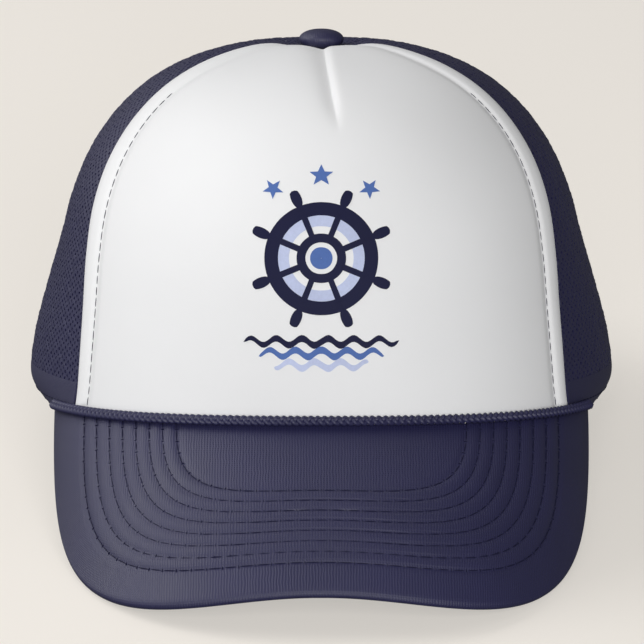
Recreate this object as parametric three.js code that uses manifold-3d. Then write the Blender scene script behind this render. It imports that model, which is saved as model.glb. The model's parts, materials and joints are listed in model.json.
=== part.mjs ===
// A five-panel cap: padded foam front, mesh sides and back, stitched brim with a braid on its seam,
// covered button, and a plain strap across the arch at the back.
// Millimetres, +Z up, the front of the cap towards -Y. It rests on its brim and the back of its hem.

import * as THREE from 'three';
import { mergeVertices } from 'three/addons/utils/BufferGeometryUtils.js';
import Module from 'manifold-3d';

const wasm = await Module();
wasm.setup();

// Crown
const HEAD_WIDTH = 173;           // hem oval, side to side, outside
const HEAD_LENGTH = 200;          // hem oval, front to back, outside
const CROWN_HEIGHT = 109.7;       // hem to the top, upright
const HEM_ARCH = 4;               // rise of the hem at the middle of the front
const SIDE_FLARE = 5;             // how far the mesh swells out over the hem
const FRONT_SQUARENESS = 2.3;     // exponent of the front half of the oval, 2 is a true ellipse
const BACK_SQUARENESS = 2.1;

// Walls and gaps
const FOAM_THICKNESS = 3;
const FOAM_PROUD = 1.1;           // how far the foam stands out past the mesh
const PRESSED_LEVEL = 0.88;       // above it the foam is pressed thin towards the button
const MESH_THICKNESS = 1.2;
const SEAM_GAP = 0.3;

// Seams, as angles round the oval from the middle of the front
const FRONT_SEAM_AT_HEM = THREE.MathUtils.degToRad(57.3);
const FRONT_SEAM_AT_TOP = THREE.MathUtils.degToRad(64.2);
const SEAM_TURN_START = 0.1;      // the front seam runs from the one angle to the other between these levels
const SEAM_TURN_END = 0.68;
const BACK_SEAM = THREE.MathUtils.degToRad(119);
const TAPE_WIDTH = 9;
const TAPE_THICKNESS = 0.6;
const TAPE_END_RADIUS = 20;       // the tapes stop this far from the middle of the top

// Dart down from the top of the front
const DART_LENGTH = 78;           // from the middle of the top
const DART_DEPTH = 1.6;
const DART_HALF_WIDTH = 3;
const DART_LEAN = 4.6;            // sideways run from its top to its end
const DART_BEND = 2.2;            // above 1, it turns aside more towards its end
const DART_START = 0.5;           // sideways place of its top

// Brim and braid
const BRIM_LENGTH = 63.5;         // along the slope, at the middle
const BRIM_TIP_INSET = 6.4;       // from the widest part of the hem inwards to each tip of the brim
const BRIM_THICKNESS = 3.2;
const BRIM_SQUARENESS = 3.0;      // exponent of its outer edge
const BRIM_TAPER = 0.92;          // width of its front as a share of its width at the tips
const BRIM_DROOP = THREE.MathUtils.degToRad(40.5);
const BRIM_SIDE_DROOP = THREE.MathUtils.degToRad(45);
const BRIM_BOW = 1.5;             // rise of its middle over a straight slope
const BRIM_TIP_TURN = THREE.MathUtils.degToRad(89.3); // just under a right angle, so its tips are blunt
const BRAID_DIAMETER = 3;
const BRAID_OVERRUN = THREE.MathUtils.degToRad(1.5);

// Button
const BUTTON_DIAMETER = 14;
const BUTTON_THICKNESS = 6.4;
const STEM_DIAMETER = 3.4;
const STEM_LENGTH = 8;            // from the middle of the button down
const STEM_CLEARANCE = 0.8;       // between the stem and the points of the panels round it

// Hem, sweatband, arch and strap
const HEM_BAND_HEIGHT = 9;
const HEM_BAND_THICKNESS = 0.8;
const SWEATBAND_HEIGHT = 30;
const SWEATBAND_THICKNESS = 1;
const SWEATBAND_LIFT = 1;         // its lower edge over the hem
const ARCH_WIDTH = 62;
const ARCH_HEIGHT = 40;
const BINDING_WIDTH = 7;
const BINDING_THICKNESS = 0.8;
const STRAP_HEIGHT = 18;
const STRAP_THICKNESS = 1.5;
const STRAP_LIFT = 1.5;           // its lower edge over the hem
const STRAP_OVERLAP = 20;         // how far each end runs behind the panels

// Facets
const PANEL_ROWS = 18;
const FRONT_COLUMNS = 30;
const MESH_COLUMNS = 12;
const ROW_CROWDING = 1.4;         // above 1, rows are closer together near the hem, where the wall bends most
const CENTRE_CROWDING = 0.15;     // above 0, columns are closer together near the middle of the front
const BRIM_COLUMNS = 36;
const BRIM_ROWS = 8;

// Sections of the crown from the hem to the top, as shares of its height, half width and half lengths
const CROWN_SECTIONS = [
  { rise: 0.000, width: 1.000, front: 1.000, back: 1.000, flare: 0.00 },
  { rise: 0.050, width: 0.990, front: 1.006, back: 1.010, flare: 1.00 },
  { rise: 0.160, width: 0.974, front: 1.008, back: 1.020, flare: 1.05 },
  { rise: 0.300, width: 0.950, front: 1.002, back: 1.005, flare: 0.65 },
  { rise: 0.440, width: 0.925, front: 0.984, back: 0.970, flare: 0.15 },
  { rise: 0.575, width: 0.886, front: 0.945, back: 0.905, flare: 0.00 },
  { rise: 0.700, width: 0.816, front: 0.875, back: 0.808, flare: 0.00 },
  { rise: 0.810, width: 0.712, front: 0.768, back: 0.680, flare: 0.00 },
  { rise: 0.895, width: 0.580, front: 0.612, back: 0.525, flare: 0.00 },
  { rise: 0.955, width: 0.410, front: 0.415, back: 0.345, flare: 0.00 },
  { rise: 0.985, width: 0.208, front: 0.204, back: 0.168, flare: 0.00 },
  { rise: 0.966, width: 0.000, front: 0.000, back: 0.000, flare: 0.00 },
];

const { smoothstep, clamp, lerp } = THREE.MathUtils;
const halfWidth = HEAD_WIDTH / 2;
const halfLength = HEAD_LENGTH / 2;

// Crown surface

function signedPower(value, exponent) {
  return Math.sign(value) * Math.abs(value) ** exponent;
}

// One section of the crown at a level from 0, the hem, to 1, the top
function sectionAt(level) {
  const last = CROWN_SECTIONS.length - 1;
  const place = clamp(level, 0, 1) * last;
  const index = Math.min(Math.floor(place), last - 1);
  const t = place - index;
  const before = CROWN_SECTIONS[Math.max(index - 1, 0)];
  const from = CROWN_SECTIONS[index];
  const to = CROWN_SECTIONS[index + 1];
  const section = {};
  for (const column of Object.keys(from)) {
    const mirror = column === 'rise' ? from[column] : -from[column];
    const after = index + 2 <= last ? CROWN_SECTIONS[index + 2][column] : mirror;
    const slope = (to[column] - before[column]) / 2;
    const nextSlope = (after - from[column]) / 2;
    section[column] = (2 * t ** 3 - 3 * t ** 2 + 1) * from[column] + (t ** 3 - 2 * t ** 2 + t) * slope
      + (3 * t ** 2 - 2 * t ** 3) * to[column] + (t ** 3 - t ** 2) * nextSlope;
  }
  return section;
}

// How much of the side flare there is at an angle, which may run on past the middle of the back
function flareShare(angle) {
  const degrees = THREE.MathUtils.radToDeg(Math.acos(Math.cos(angle)));
  return smoothstep(degrees, 58, 96) * (1 - 0.6 * smoothstep(degrees, 120, 180));
}

function hemRise(angle) {
  return HEM_ARCH * Math.max(0, Math.cos(angle)) ** 2;
}

// Exponent of the oval: square at the hem, a true ellipse at the top
function squareness(angle, level) {
  const atHem = Math.cos(angle) > 0 ? FRONT_SQUARENESS : BACK_SQUARENESS;
  return lerp(atHem, 2, level ** 1.5);
}

function bareCrownPoint(angle, level) {
  const section = sectionAt(level);
  const power = 2 / squareness(angle, level);
  const reachX = halfWidth * section.width + SIDE_FLARE * section.flare * flareShare(angle);
  const reachY = halfLength * (Math.cos(angle) > 0 ? section.front : section.back);
  return new THREE.Vector3(
    reachX * signedPower(Math.sin(angle), power),
    -reachY * signedPower(Math.cos(angle), power),
    CROWN_HEIGHT * section.rise + hemRise(angle) * (1 - level) ** 2,
  );
}

function crownNormal(angle, level) {
  const step = 0.004;
  const low = clamp(level - step, 0, 1 - 3 * step);
  const across = bareCrownPoint(angle + step, low + step).sub(bareCrownPoint(angle - step, low + step));
  const up = bareCrownPoint(angle, low + 2 * step).sub(bareCrownPoint(angle, low));
  const normal = across.cross(up).normalize();
  normal.z *= smoothstep(level, 0, 0.12);
  return normal.normalize();
}

// A point on the crown, standing out from its surface by a distance, or in if that is negative
function crownPoint(angle, level, stand) {
  return bareCrownPoint(angle, level).addScaledVector(crownNormal(angle, level), stand);
}

function bisect(test, low, high) {
  for (let i = 0; i < 40; i += 1) {
    const middle = (low + high) / 2;
    if (test(middle)) high = middle;
    else low = middle;
  }
  return (low + high) / 2;
}

function levelAtHeight(height) {
  return bisect((level) => CROWN_HEIGHT * sectionAt(level).rise > height, 0, 1);
}

function levelAtRadius(radius) {
  return bisect((level) => halfWidth * sectionAt(level).width < radius, 0.8, 1);
}

// The angle to the side of a point round the oval, this far along the surface from it
function shiftedAngle(angle, level, distance) {
  const step = 0.01;
  const run = bareCrownPoint(angle + step, level).distanceTo(bareCrownPoint(angle - step, level));
  return angle + distance * 2 * step / run;
}

// The angle at the back where the crown is this far to the side of its middle
function backAngleAt(side, level) {
  const { width } = sectionAt(level);
  const sine = clamp(Math.abs(side) / (halfWidth * width), 0, 1) ** (squareness(Math.PI, level) / 2);
  return Math.sign(side) * (Math.PI - Math.asin(sine));
}

const topLevel = levelAtRadius(STEM_DIAMETER / 2 + STEM_CLEARANCE);

// Seams as functions of the level, on the right of the cap
const frontSeam = (level) => lerp(FRONT_SEAM_AT_HEM, FRONT_SEAM_AT_TOP, smoothstep(level, SEAM_TURN_START, SEAM_TURN_END));
const backSeam = () => BACK_SEAM;
const centreBack = () => Math.PI;
const onSide = (side, seam) => (level) => side * seam(level);

// Closed bodies

// A closed body between two faces, each a function of two shares from 0 to 1
function slab(outer, inner, columns, rows) {
  const positions = [];
  const index = [];
  for (const face of [outer, inner]) {
    for (let row = 0; row <= rows; row += 1) {
      for (let column = 0; column <= columns; column += 1) {
        positions.push(...face(column / columns, row / rows).toArray());
      }
    }
  }
  const sheet = (columns + 1) * (rows + 1);
  const at = (column, row, side) => side * sheet + row * (columns + 1) + column;
  const quad = (a, b, c, d) => index.push(a, b, c, a, c, d);
  for (let row = 0; row < rows; row += 1) {
    for (let column = 0; column < columns; column += 1) {
      quad(at(column, row, 0), at(column + 1, row, 0), at(column + 1, row + 1, 0), at(column, row + 1, 0));
      quad(at(column, row, 1), at(column, row + 1, 1), at(column + 1, row + 1, 1), at(column + 1, row, 1));
    }
    quad(at(0, row, 0), at(0, row + 1, 0), at(0, row + 1, 1), at(0, row, 1));
    quad(at(columns, row, 0), at(columns, row, 1), at(columns, row + 1, 1), at(columns, row + 1, 0));
  }
  for (let column = 0; column < columns; column += 1) {
    quad(at(column, 0, 0), at(column, 0, 1), at(column + 1, 0, 1), at(column + 1, 0, 0));
    quad(at(column, rows, 0), at(column + 1, rows, 0), at(column + 1, rows, 1), at(column, rows, 1));
  }
  const geometry = new THREE.BufferGeometry();
  geometry.setAttribute('position', new THREE.Float32BufferAttribute(positions, 3));
  geometry.setIndex(index);
  if (volume(geometry) < 0) {
    geometry.setIndex(index.toReversed());
  }
  geometry.computeVertexNormals();
  return geometry;
}

function volume(geometry) {
  const { array } = geometry.getAttribute('position');
  const corners = geometry.getIndex().array;
  const corner = (i) => new THREE.Vector3().fromArray(array, corners[i] * 3);
  let total = 0;
  for (let i = 0; i < corners.length; i += 3) {
    total += corner(i).dot(corner(i + 1).cross(corner(i + 2))) / 6;
  }
  return total;
}

// A strip of the crown's wall, with its ends as functions of the level and its faces as functions of both
function crownWall({ from, to, bottom, top, outside, inside, columns, rows, spread = (s) => s }) {
  const face = (stand) => (s, t) => {
    const level = lerp(bottom, top, t ** ROW_CROWDING);
    const angle = lerp(from(level), to(level), spread(s));
    return crownPoint(angle, level, typeof stand === 'function' ? stand(angle, level) : stand);
  };
  return slab(face(outside), face(inside), columns, rows);
}

function toSolid(geometry) {
  const bare = geometry.clone();
  bare.deleteAttribute('normal');
  bare.deleteAttribute('uv');
  const merged = mergeVertices(bare, 1e-4);
  return new wasm.Manifold(new wasm.Mesh({
    numProp: 3,
    vertProperties: new Float32Array(merged.getAttribute('position').array),
    triVerts: new Uint32Array(merged.getIndex().array),
  }));
}

function toGeometry(solid) {
  const { vertProperties, triVerts } = solid.getMesh();
  const geometry = new THREE.BufferGeometry();
  geometry.setAttribute('position', new THREE.Float32BufferAttribute(vertProperties, 3));
  geometry.setIndex(new THREE.Uint32BufferAttribute(triVerts, 1));
  geometry.computeVertexNormals();
  return geometry;
}

// Front panel, of foam, with its dart

// How far the foam stands out: it is pressed thin towards the button
function foamStand(level) {
  return FOAM_PROUD * (1 - smoothstep(level, PRESSED_LEVEL, topLevel));
}

function dartDent(angle, level) {
  const { x, y, z } = bareCrownPoint(angle, level);
  const down = Math.hypot(y, CROWN_HEIGHT - z) / DART_LENGTH;
  if (y > 0 || down > 1) return 0;
  const aside = (x - DART_START - DART_LEAN * down ** DART_BEND) / DART_HALF_WIDTH;
  return DART_DEPTH * Math.exp(-(aside ** 2)) * (1 - smoothstep(down, 0.7, 1)) * smoothstep(down, 0.1, 0.35);
}

function frontPanel() {
  return crownWall({
    from: (level) => shiftedAngle(-frontSeam(level), level, SEAM_GAP / 2),
    to: (level) => shiftedAngle(frontSeam(level), level, -SEAM_GAP / 2),
    bottom: 0,
    top: topLevel,
    outside: (angle, level) => foamStand(level) - dartDent(angle, level),
    inside: (angle, level) => FOAM_PROUD - FOAM_THICKNESS - dartDent(angle, level),
    columns: FRONT_COLUMNS,
    rows: PANEL_ROWS,
    spread: (s) => 0.5 + 0.5 * lerp(2 * s - 1, (2 * s - 1) ** 3, CENTRE_CROWDING),
  });
}

// Mesh panels, with the arch cut out of the two at the back

function meshPanel(side, front, back) {
  return crownWall({
    from: (level) => shiftedAngle(side * front(level), level, side * SEAM_GAP / 2),
    to: (level) => shiftedAngle(side * back(level), level, -side * SEAM_GAP / 2),
    bottom: 0,
    top: topLevel,
    outside: 0,
    inside: -MESH_THICKNESS,
    columns: MESH_COLUMNS,
    rows: PANEL_ROWS,
  });
}

function archCutter() {
  const outline = new THREE.Shape();
  outline.absellipse(0, 0, ARCH_WIDTH / 2, ARCH_HEIGHT, 0, 2 * Math.PI, false, 0);
  const cutter = new THREE.ExtrudeGeometry(outline, { depth: halfLength, bevelEnabled: false, curveSegments: 20 });
  return cutter.rotateX(Math.PI / 2).translate(0, 1.5 * halfLength, 0);
}

function backPanel(side) {
  return toGeometry(toSolid(meshPanel(side, backSeam, centreBack)).subtract(toSolid(archCutter())));
}

// Tape on the inside of a seam

function seamTape(seam, outside) {
  const reach = TAPE_WIDTH / 2;
  const bottom = seam === centreBack ? ARCH_HEIGHT + SEAM_GAP : SWEATBAND_LIFT;
  return crownWall({
    from: (level) => shiftedAngle(seam(level), level, -reach),
    to: (level) => shiftedAngle(seam(level), level, reach),
    bottom: levelAtHeight(bottom),
    top: levelAtRadius(TAPE_END_RADIUS),
    outside,
    inside: outside - TAPE_THICKNESS,
    columns: 1,
    rows: PANEL_ROWS,
  });
}

// Hem band, outside the mesh, and sweatband, inside everything

function hemBand(side) {
  const end = backAngleAt(side * (ARCH_WIDTH / 2 + BINDING_WIDTH + SEAM_GAP), 0);
  return crownWall({
    from: (level) => shiftedAngle(side * frontSeam(level), level, side * SEAM_GAP / 2),
    to: () => end,
    bottom: 0,
    top: levelAtHeight(HEM_BAND_HEIGHT),
    outside: SEAM_GAP + HEM_BAND_THICKNESS,
    inside: SEAM_GAP,
    columns: 24,
    rows: 4,
  });
}

const strapEnd = backAngleAt(ARCH_WIDTH / 2 + STRAP_OVERLAP, 0);
const frontTapeStand = FOAM_PROUD - FOAM_THICKNESS - SEAM_GAP;
const meshTapeStand = -MESH_THICKNESS - SEAM_GAP;
const sweatbandStand = Math.min(frontTapeStand, meshTapeStand) - TAPE_THICKNESS - SEAM_GAP;

function sweatband() {
  const end = shiftedAngle(strapEnd, 0, -SEAM_GAP);
  return crownWall({
    from: () => -end,
    to: () => end,
    bottom: levelAtHeight(SWEATBAND_LIFT),
    top: levelAtHeight(SWEATBAND_HEIGHT),
    outside: sweatbandStand,
    inside: sweatbandStand - SWEATBAND_THICKNESS,
    columns: 56,
    rows: 3,
  });
}

// Binding round the arch and strap across it

function archBinding() {
  const face = (stand) => (s, t) => {
    const turn = Math.PI * s;
    const side = (ARCH_WIDTH / 2 + BINDING_WIDTH * t) * Math.cos(turn);
    const height = (ARCH_HEIGHT + BINDING_WIDTH * t) * Math.sin(turn);
    const level = levelAtHeight(Math.max(height, 0));
    const angle = Math.abs(side) < 1e-6 ? Math.PI : backAngleAt(side, level);
    return crownPoint(angle, level, stand);
  };
  return slab(face(SEAM_GAP + BINDING_THICKNESS), face(SEAM_GAP), 28, 1);
}

function backStrap() {
  return crownWall({
    from: () => strapEnd,
    to: () => 2 * Math.PI - strapEnd,
    bottom: levelAtHeight(STRAP_LIFT),
    top: levelAtHeight(STRAP_LIFT + STRAP_HEIGHT),
    outside: meshTapeStand,
    inside: meshTapeStand - STRAP_THICKNESS,
    columns: 20,
    rows: 2,
  });
}

// Brim, hung from the front of the hem

const brimReach = BRIM_LENGTH * Math.cos(BRIM_DROOP);
const hemOffset = FOAM_PROUD + SEAM_GAP;
const rootHalfWidth = halfWidth + hemOffset;
const rootHalfLength = halfLength + hemOffset;
const tipSide = rootHalfWidth - BRIM_TIP_INSET;
const tipAngle = Math.asin((tipSide / rootHalfWidth) ** (FRONT_SQUARENESS / 2));

// How far forward the root of the brim is, and how high, this far to the side of its middle
function rootAt(side) {
  const sine = clamp(Math.abs(side) / rootHalfWidth, 0, 1) ** (FRONT_SQUARENESS / 2);
  const cosine = Math.sqrt(1 - sine ** 2);
  return { forward: rootHalfLength * cosine ** (2 / FRONT_SQUARENESS), rise: HEM_ARCH * cosine ** 2 };
}

function brimHeight(x, forward) {
  const share = Math.min(Math.abs(x) / tipSide, 1);
  const root = rootAt(x);
  const droop = lerp(BRIM_DROOP, BRIM_SIDE_DROOP, share ** 2);
  const out = (forward - root.forward) / brimReach;
  const bow = BRIM_BOW * 4 * out * (1 - out) * (1 - share ** 2);
  return root.rise - (forward - root.forward) * Math.tan(droop) + bow - SEAM_GAP;
}

// A point of the brim: s across it from tip to tip, t out from the hem to its edge
function brimPoint(s, t, drop) {
  const across = 2 * s - 1;
  const rootX = rootHalfWidth * signedPower(Math.sin(across * tipAngle), 2 / FRONT_SQUARENESS);
  const turn = across * BRIM_TIP_TURN;
  const edgePower = 2 / BRIM_SQUARENESS;
  const edgeX = tipSide * signedPower(Math.sin(turn), edgePower) * lerp(1, BRIM_TAPER, Math.cos(turn));
  const tipForward = rootAt(tipSide).forward;
  const edgeForward = lerp(tipForward, rootHalfLength + brimReach, Math.cos(turn) ** edgePower);
  const x = lerp(rootX, edgeX, t);
  const forward = lerp(rootAt(rootX).forward, edgeForward, t);
  const step = 0.2;
  const slopeX = (brimHeight(x + step, forward) - brimHeight(x - step, forward)) / (2 * step);
  const slopeForward = (brimHeight(x, forward + step) - brimHeight(x, forward - step)) / (2 * step);
  const normal = new THREE.Vector3(-slopeX, slopeForward, 1).normalize();
  return new THREE.Vector3(x, -forward, brimHeight(x, forward)).addScaledVector(normal, -drop);
}

function brim() {
  const face = (drop) => (s, t) => brimPoint(s, t, drop);
  return slab(face(0), face(BRIM_THICKNESS), BRIM_COLUMNS, BRIM_ROWS);
}

// Braid, laid in the corner between the brim and the crown

function brimBraid() {
  const radius = BRAID_DIAMETER / 2;
  const stand = FOAM_PROUD + SEAM_GAP + radius;
  const lift = (radius + SEAM_GAP - radius * Math.sin(BRIM_DROOP)) / Math.cos(BRIM_DROOP);
  const level = levelAtHeight(lift + radius);
  const points = [];
  const steps = 24;
  for (let i = 0; i <= steps; i += 1) {
    const angle = lerp(-1, 1, i / steps) * (tipAngle + BRAID_OVERRUN);
    const wall = Math.max(bareCrownPoint(angle, level).x * Math.sign(angle), bareCrownPoint(angle, 0).x * Math.sign(angle));
    const point = crownPoint(angle, 0, stand);
    point.x += Math.sign(angle) * (wall - Math.abs(bareCrownPoint(angle, 0).x));
    point.z = hemRise(angle) + lift;
    points.push(point);
  }
  const section = new THREE.Shape().absarc(0, 0, radius, 0, 2 * Math.PI);
  const path = new THREE.CatmullRomCurve3(points);
  return new THREE.ExtrudeGeometry(section, { steps: 48, curveSegments: 4, bevelEnabled: false, extrudePath: path });
}

// Button on the top, with its stem through the hole between the panels

function topButton() {
  const rise = BUTTON_THICKNESS / 2;
  const middle = bareCrownPoint(0, 1).z + SEAM_GAP + rise;
  const profile = [new THREE.Vector2(0, -STEM_LENGTH), new THREE.Vector2(STEM_DIAMETER / 2, -STEM_LENGTH)];
  const stemTurn = Math.acos(STEM_DIAMETER / BUTTON_DIAMETER);
  const steps = 11;
  for (let i = 0; i <= steps; i += 1) {
    const turn = lerp(-stemTurn, Math.PI / 2, i / steps);
    const out = i === steps ? 0 : BUTTON_DIAMETER / 2 * Math.cos(turn);
    profile.push(new THREE.Vector2(out, rise * Math.sin(turn)));
  }
  return new THREE.LatheGeometry(profile, 20).rotateX(Math.PI / 2).translate(0, 0, middle);
}

// Materials

const material = (color, roughness) => new THREE.MeshStandardMaterial({ color, roughness, metalness: 0 });
const whiteFoam = material('#ececea', 0.9);
const navyMesh = material('#2c2f4f', 0.8);
const navyCloth = material('#34365a', 0.85);
const navyPlastic = material('#23264a', 0.45);

// Assembly

const cap = new THREE.Group();

function add(name, geometry, look) {
  const mesh = new THREE.Mesh(geometry, look);
  mesh.name = name;
  cap.add(mesh);
  return mesh;
}

add('front_panel', frontPanel(), whiteFoam);
for (const [side, name] of [[-1, 'left'], [1, 'right']]) {
  add(`side_panel_${name}`, meshPanel(side, frontSeam, backSeam), navyMesh);
  add(`back_panel_${name}`, backPanel(side), navyMesh);
  add(`seam_tape_front_${name}`, seamTape(onSide(side, frontSeam), frontTapeStand), navyCloth);
  add(`seam_tape_back_${name}`, seamTape(onSide(side, backSeam), meshTapeStand), navyCloth);
}
add('seam_tape_centre', seamTape(centreBack, meshTapeStand), navyCloth);
const rests = [add('arch_binding', archBinding(), navyCloth), add('back_strap', backStrap(), navyPlastic)];
rests.push(add('hem_band_left', hemBand(-1), navyCloth), add('hem_band_right', hemBand(1), navyCloth));
add('sweatband', sweatband(), navyCloth);
const brimMesh = add('brim', brim(), navyCloth);
add('brim_braid', brimBraid(), navyCloth);
add('top_button', topButton(), navyCloth);

// At rest: tilted back until the brim and the back of the hem are equally low, and lifted to the ground

function lowest(meshes, tilt) {
  let low = Infinity;
  for (const mesh of meshes) {
    const points = mesh.geometry.getAttribute('position');
    for (let i = 0; i < points.count; i += 1) {
      low = Math.min(low, points.getZ(i) * Math.cos(tilt) - points.getY(i) * Math.sin(tilt));
    }
  }
  return low;
}

const steepest = THREE.MathUtils.degToRad(40);
const tilt = bisect((angle) => lowest([brimMesh], angle) > lowest(rests, angle), 0, steepest);
cap.rotation.x = -tilt;
cap.position.z = -lowest([brimMesh], tilt);

const upright = new THREE.Group();
upright.add(cap);
upright.updateMatrixWorld(true);
const middle = new THREE.Box3().setFromObject(upright, true).getCenter(new THREE.Vector3());
cap.position.y = -middle.y;

export default upright;
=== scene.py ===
"""A mesh-back cap with a padded white front and a stitched brim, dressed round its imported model.

Lengths are in metres. The cap's surfaces are worked out in its upright frame, with +Z up and the brim towards
-Y, and every finished piece is then turned and set down to where the cap rests.
"""

import json
import math

import bmesh
import bpy
import numpy as np
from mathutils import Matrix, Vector

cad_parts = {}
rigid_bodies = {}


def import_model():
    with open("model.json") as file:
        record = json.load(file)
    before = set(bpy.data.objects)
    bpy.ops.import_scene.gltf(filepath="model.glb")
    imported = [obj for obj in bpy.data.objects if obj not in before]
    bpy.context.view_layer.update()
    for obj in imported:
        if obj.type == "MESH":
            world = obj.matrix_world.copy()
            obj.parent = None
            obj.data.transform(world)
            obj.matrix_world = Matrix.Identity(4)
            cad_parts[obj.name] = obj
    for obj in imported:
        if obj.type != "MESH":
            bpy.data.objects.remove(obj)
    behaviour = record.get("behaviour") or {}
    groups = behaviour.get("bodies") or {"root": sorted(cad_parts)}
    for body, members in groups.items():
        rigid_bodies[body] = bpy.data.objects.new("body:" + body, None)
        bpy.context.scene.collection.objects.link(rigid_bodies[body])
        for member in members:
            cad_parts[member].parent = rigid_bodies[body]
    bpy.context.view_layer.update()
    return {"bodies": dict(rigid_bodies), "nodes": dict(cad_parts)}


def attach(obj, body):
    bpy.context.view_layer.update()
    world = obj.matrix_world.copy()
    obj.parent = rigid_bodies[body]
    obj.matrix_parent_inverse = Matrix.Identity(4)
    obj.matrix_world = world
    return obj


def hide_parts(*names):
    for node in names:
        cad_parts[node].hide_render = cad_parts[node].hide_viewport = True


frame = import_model()

bl_info = {
    "name": "Mesh-back cap",
    "version": (1, 0, 0),
    "blender": (4, 5, 0),
    "location": "3D View > Sidebar > Cap",
    "description": "Makes a cap with a padded front, a mesh back and a stitched brim",
    "category": "Object",
}

MM = 0.001
BRIM_TIP_TURN = math.radians(89.3)      # just under a right angle, so the brim's tips are blunt
BODY = next(iter(frame["bodies"]))

# Sections of the crown from the hem to the top, as shares of its height, half width and half lengths
SECTIONS = {
    "rise": np.array([0, 0.05, 0.16, 0.30, 0.44, 0.575, 0.70, 0.81, 0.895, 0.955, 0.985, 0.966]),
    "width": np.array([1, 0.99, 0.974, 0.95, 0.925, 0.886, 0.816, 0.712, 0.58, 0.41, 0.208, 0]),
    "front": np.array([1, 1.006, 1.008, 1.002, 0.984, 0.945, 0.875, 0.768, 0.612, 0.415, 0.204, 0]),
    "back": np.array([1, 1.01, 1.02, 1.005, 0.97, 0.905, 0.808, 0.68, 0.525, 0.345, 0.168, 0]),
    "flare": np.array([0, 1, 1.05, 0.65, 0.15, 0, 0, 0, 0, 0, 0, 0]),
}
FLARE_START = (58, 96)      # degrees from the middle of the front, between which the side flare sets in
FLARE_FALL = (120, 180)     # and between which it loses this share again
FLARE_LOSS = 0.6
SEAM_TURN = (0.1, 0.68)     # between these levels the front seam goes over to its place at the top
PRESSED_LEVEL = 0.88        # above it the foam is pressed thin towards the button
UPRIGHT_LEVEL = 0.12        # below it the wall's normal is turned flat towards the hem


# Sizes and colours

def length(name, value, description):
    return bpy.props.FloatProperty(
        name=name, description=description, default=value * MM, precision=5, subtype="DISTANCE", unit="LENGTH"
    )


def angle(name, value, description):
    return bpy.props.FloatProperty(
        name=name, description=description, default=math.radians(value), subtype="ANGLE", unit="ROTATION"
    )


def number(name, value, description):
    return bpy.props.FloatProperty(name=name, description=description, default=value, subtype="FACTOR")


def colour(name, value, description):
    return bpy.props.FloatVectorProperty(
        name=name, description=description, default=value, subtype="COLOR", size=3, min=0, max=1
    )


class CapSizes(bpy.types.PropertyGroup):
    """Sizes of the cap"""

    head_width: length("Head width", 173, "Hem oval, side to side")
    head_length: length("Head length", 200, "Hem oval, front to back")
    crown_height: length("Crown height", 109.7, "Hem to the top, upright")
    hem_arch: length("Hem arch", 4, "Rise of the hem at the middle of the front")
    side_flare: length("Side flare", 5, "How far the mesh swells out over the hem")
    front_squareness: number("Front squareness", 2.3, "Exponent of the front half of the oval")
    back_squareness: number("Back squareness", 2.1, "Exponent of the back half of the oval")
    foam_thickness: length("Foam thickness", 3, "Wall of the front panel")
    foam_proud: length("Foam proud", 1.1, "How far the foam stands out past the mesh")
    mesh_thickness: length("Mesh thickness", 1.2, "Wall of the mesh panels")
    seam_gap: length("Seam gap", 0.3, "Clearance between neighbouring pieces")
    seam_at_hem: angle("Front seam at the hem", 57.3, "Place of the front seam round the oval")
    seam_at_top: angle("Front seam at the top", 64.2, "Place of the front seam round the oval")
    back_seam: angle("Back seam", 119, "Place of the side seam at the back")
    tape_width: length("Tape width", 9, "Width of the tape inside a seam")
    tape_thickness: length("Tape thickness", 0.6, "Thickness of that tape")
    tape_end: length("Tape end", 20, "How far from the middle of the top the tapes stop")
    brim_length: length("Brim length", 63.5, "Along its slope, at the middle")
    tip_inset: length("Brim tip inset", 6.4, "From the widest part of the hem in to each tip of the brim")
    brim_thickness: length("Brim thickness", 3.2, "Core and both cloths")
    brim_squareness: number("Brim squareness", 3.0, "Exponent of the brim's outer edge")
    brim_taper: number("Brim taper", 0.92, "Width of its front as a share of its width at the tips")
    brim_droop: angle("Brim droop", 40.5, "Slope of the brim at its middle")
    side_droop: angle("Side droop", 45, "Slope of the brim at its sides")
    brim_bow: length("Brim bow", 1.5, "Rise of its middle over a straight slope")
    braid_diameter: length("Braid diameter", 3, "Thickness of the braid on the brim's seam")
    button_diameter: length("Button diameter", 14, "Across the button")
    button_thickness: length("Button thickness", 6.4, "Through the middle of the button")
    stem_diameter: length("Stem diameter", 3.4, "Shank under the button")
    stem_length: length("Stem length", 8, "From the middle of the button down")
    stem_clearance: length("Stem clearance", 0.8, "Between the shank and the panels' points")
    band_height: length("Hem band height", 9, "Band round the hem of the mesh")
    band_thickness: length("Hem band thickness", 0.8, "Thickness of that band")
    sweat_height: length("Sweatband height", 30, "Upper edge of the sweatband over the hem")
    sweat_thickness: length("Sweatband thickness", 1, "Thickness of the sweatband")
    sweat_lift: length("Sweatband lift", 1, "Lower edge of the sweatband over the hem")
    arch_width: length("Arch width", 62, "Opening at the back")
    arch_height: length("Arch height", 40, "Opening at the back")
    binding_width: length("Binding width", 7, "Binding round the arch")
    binding_thickness: length("Binding thickness", 0.8, "Binding round the arch")
    strap_height: length("Strap height", 18, "Strap across the arch")
    strap_thickness: length("Strap thickness", 1.5, "Strap across the arch")
    strap_lift: length("Strap lift", 1.5, "Lower edge of the strap over the hem")
    strap_overlap: length("Strap overlap", 20, "How far each end of the strap runs behind the panels")
    net_pitch: length("Net pitch", 2.1, "Spacing of the holes in the mesh")
    stitch_length: length("Stitch length", 2.9, "Length of one stitch on the crown")


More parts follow.
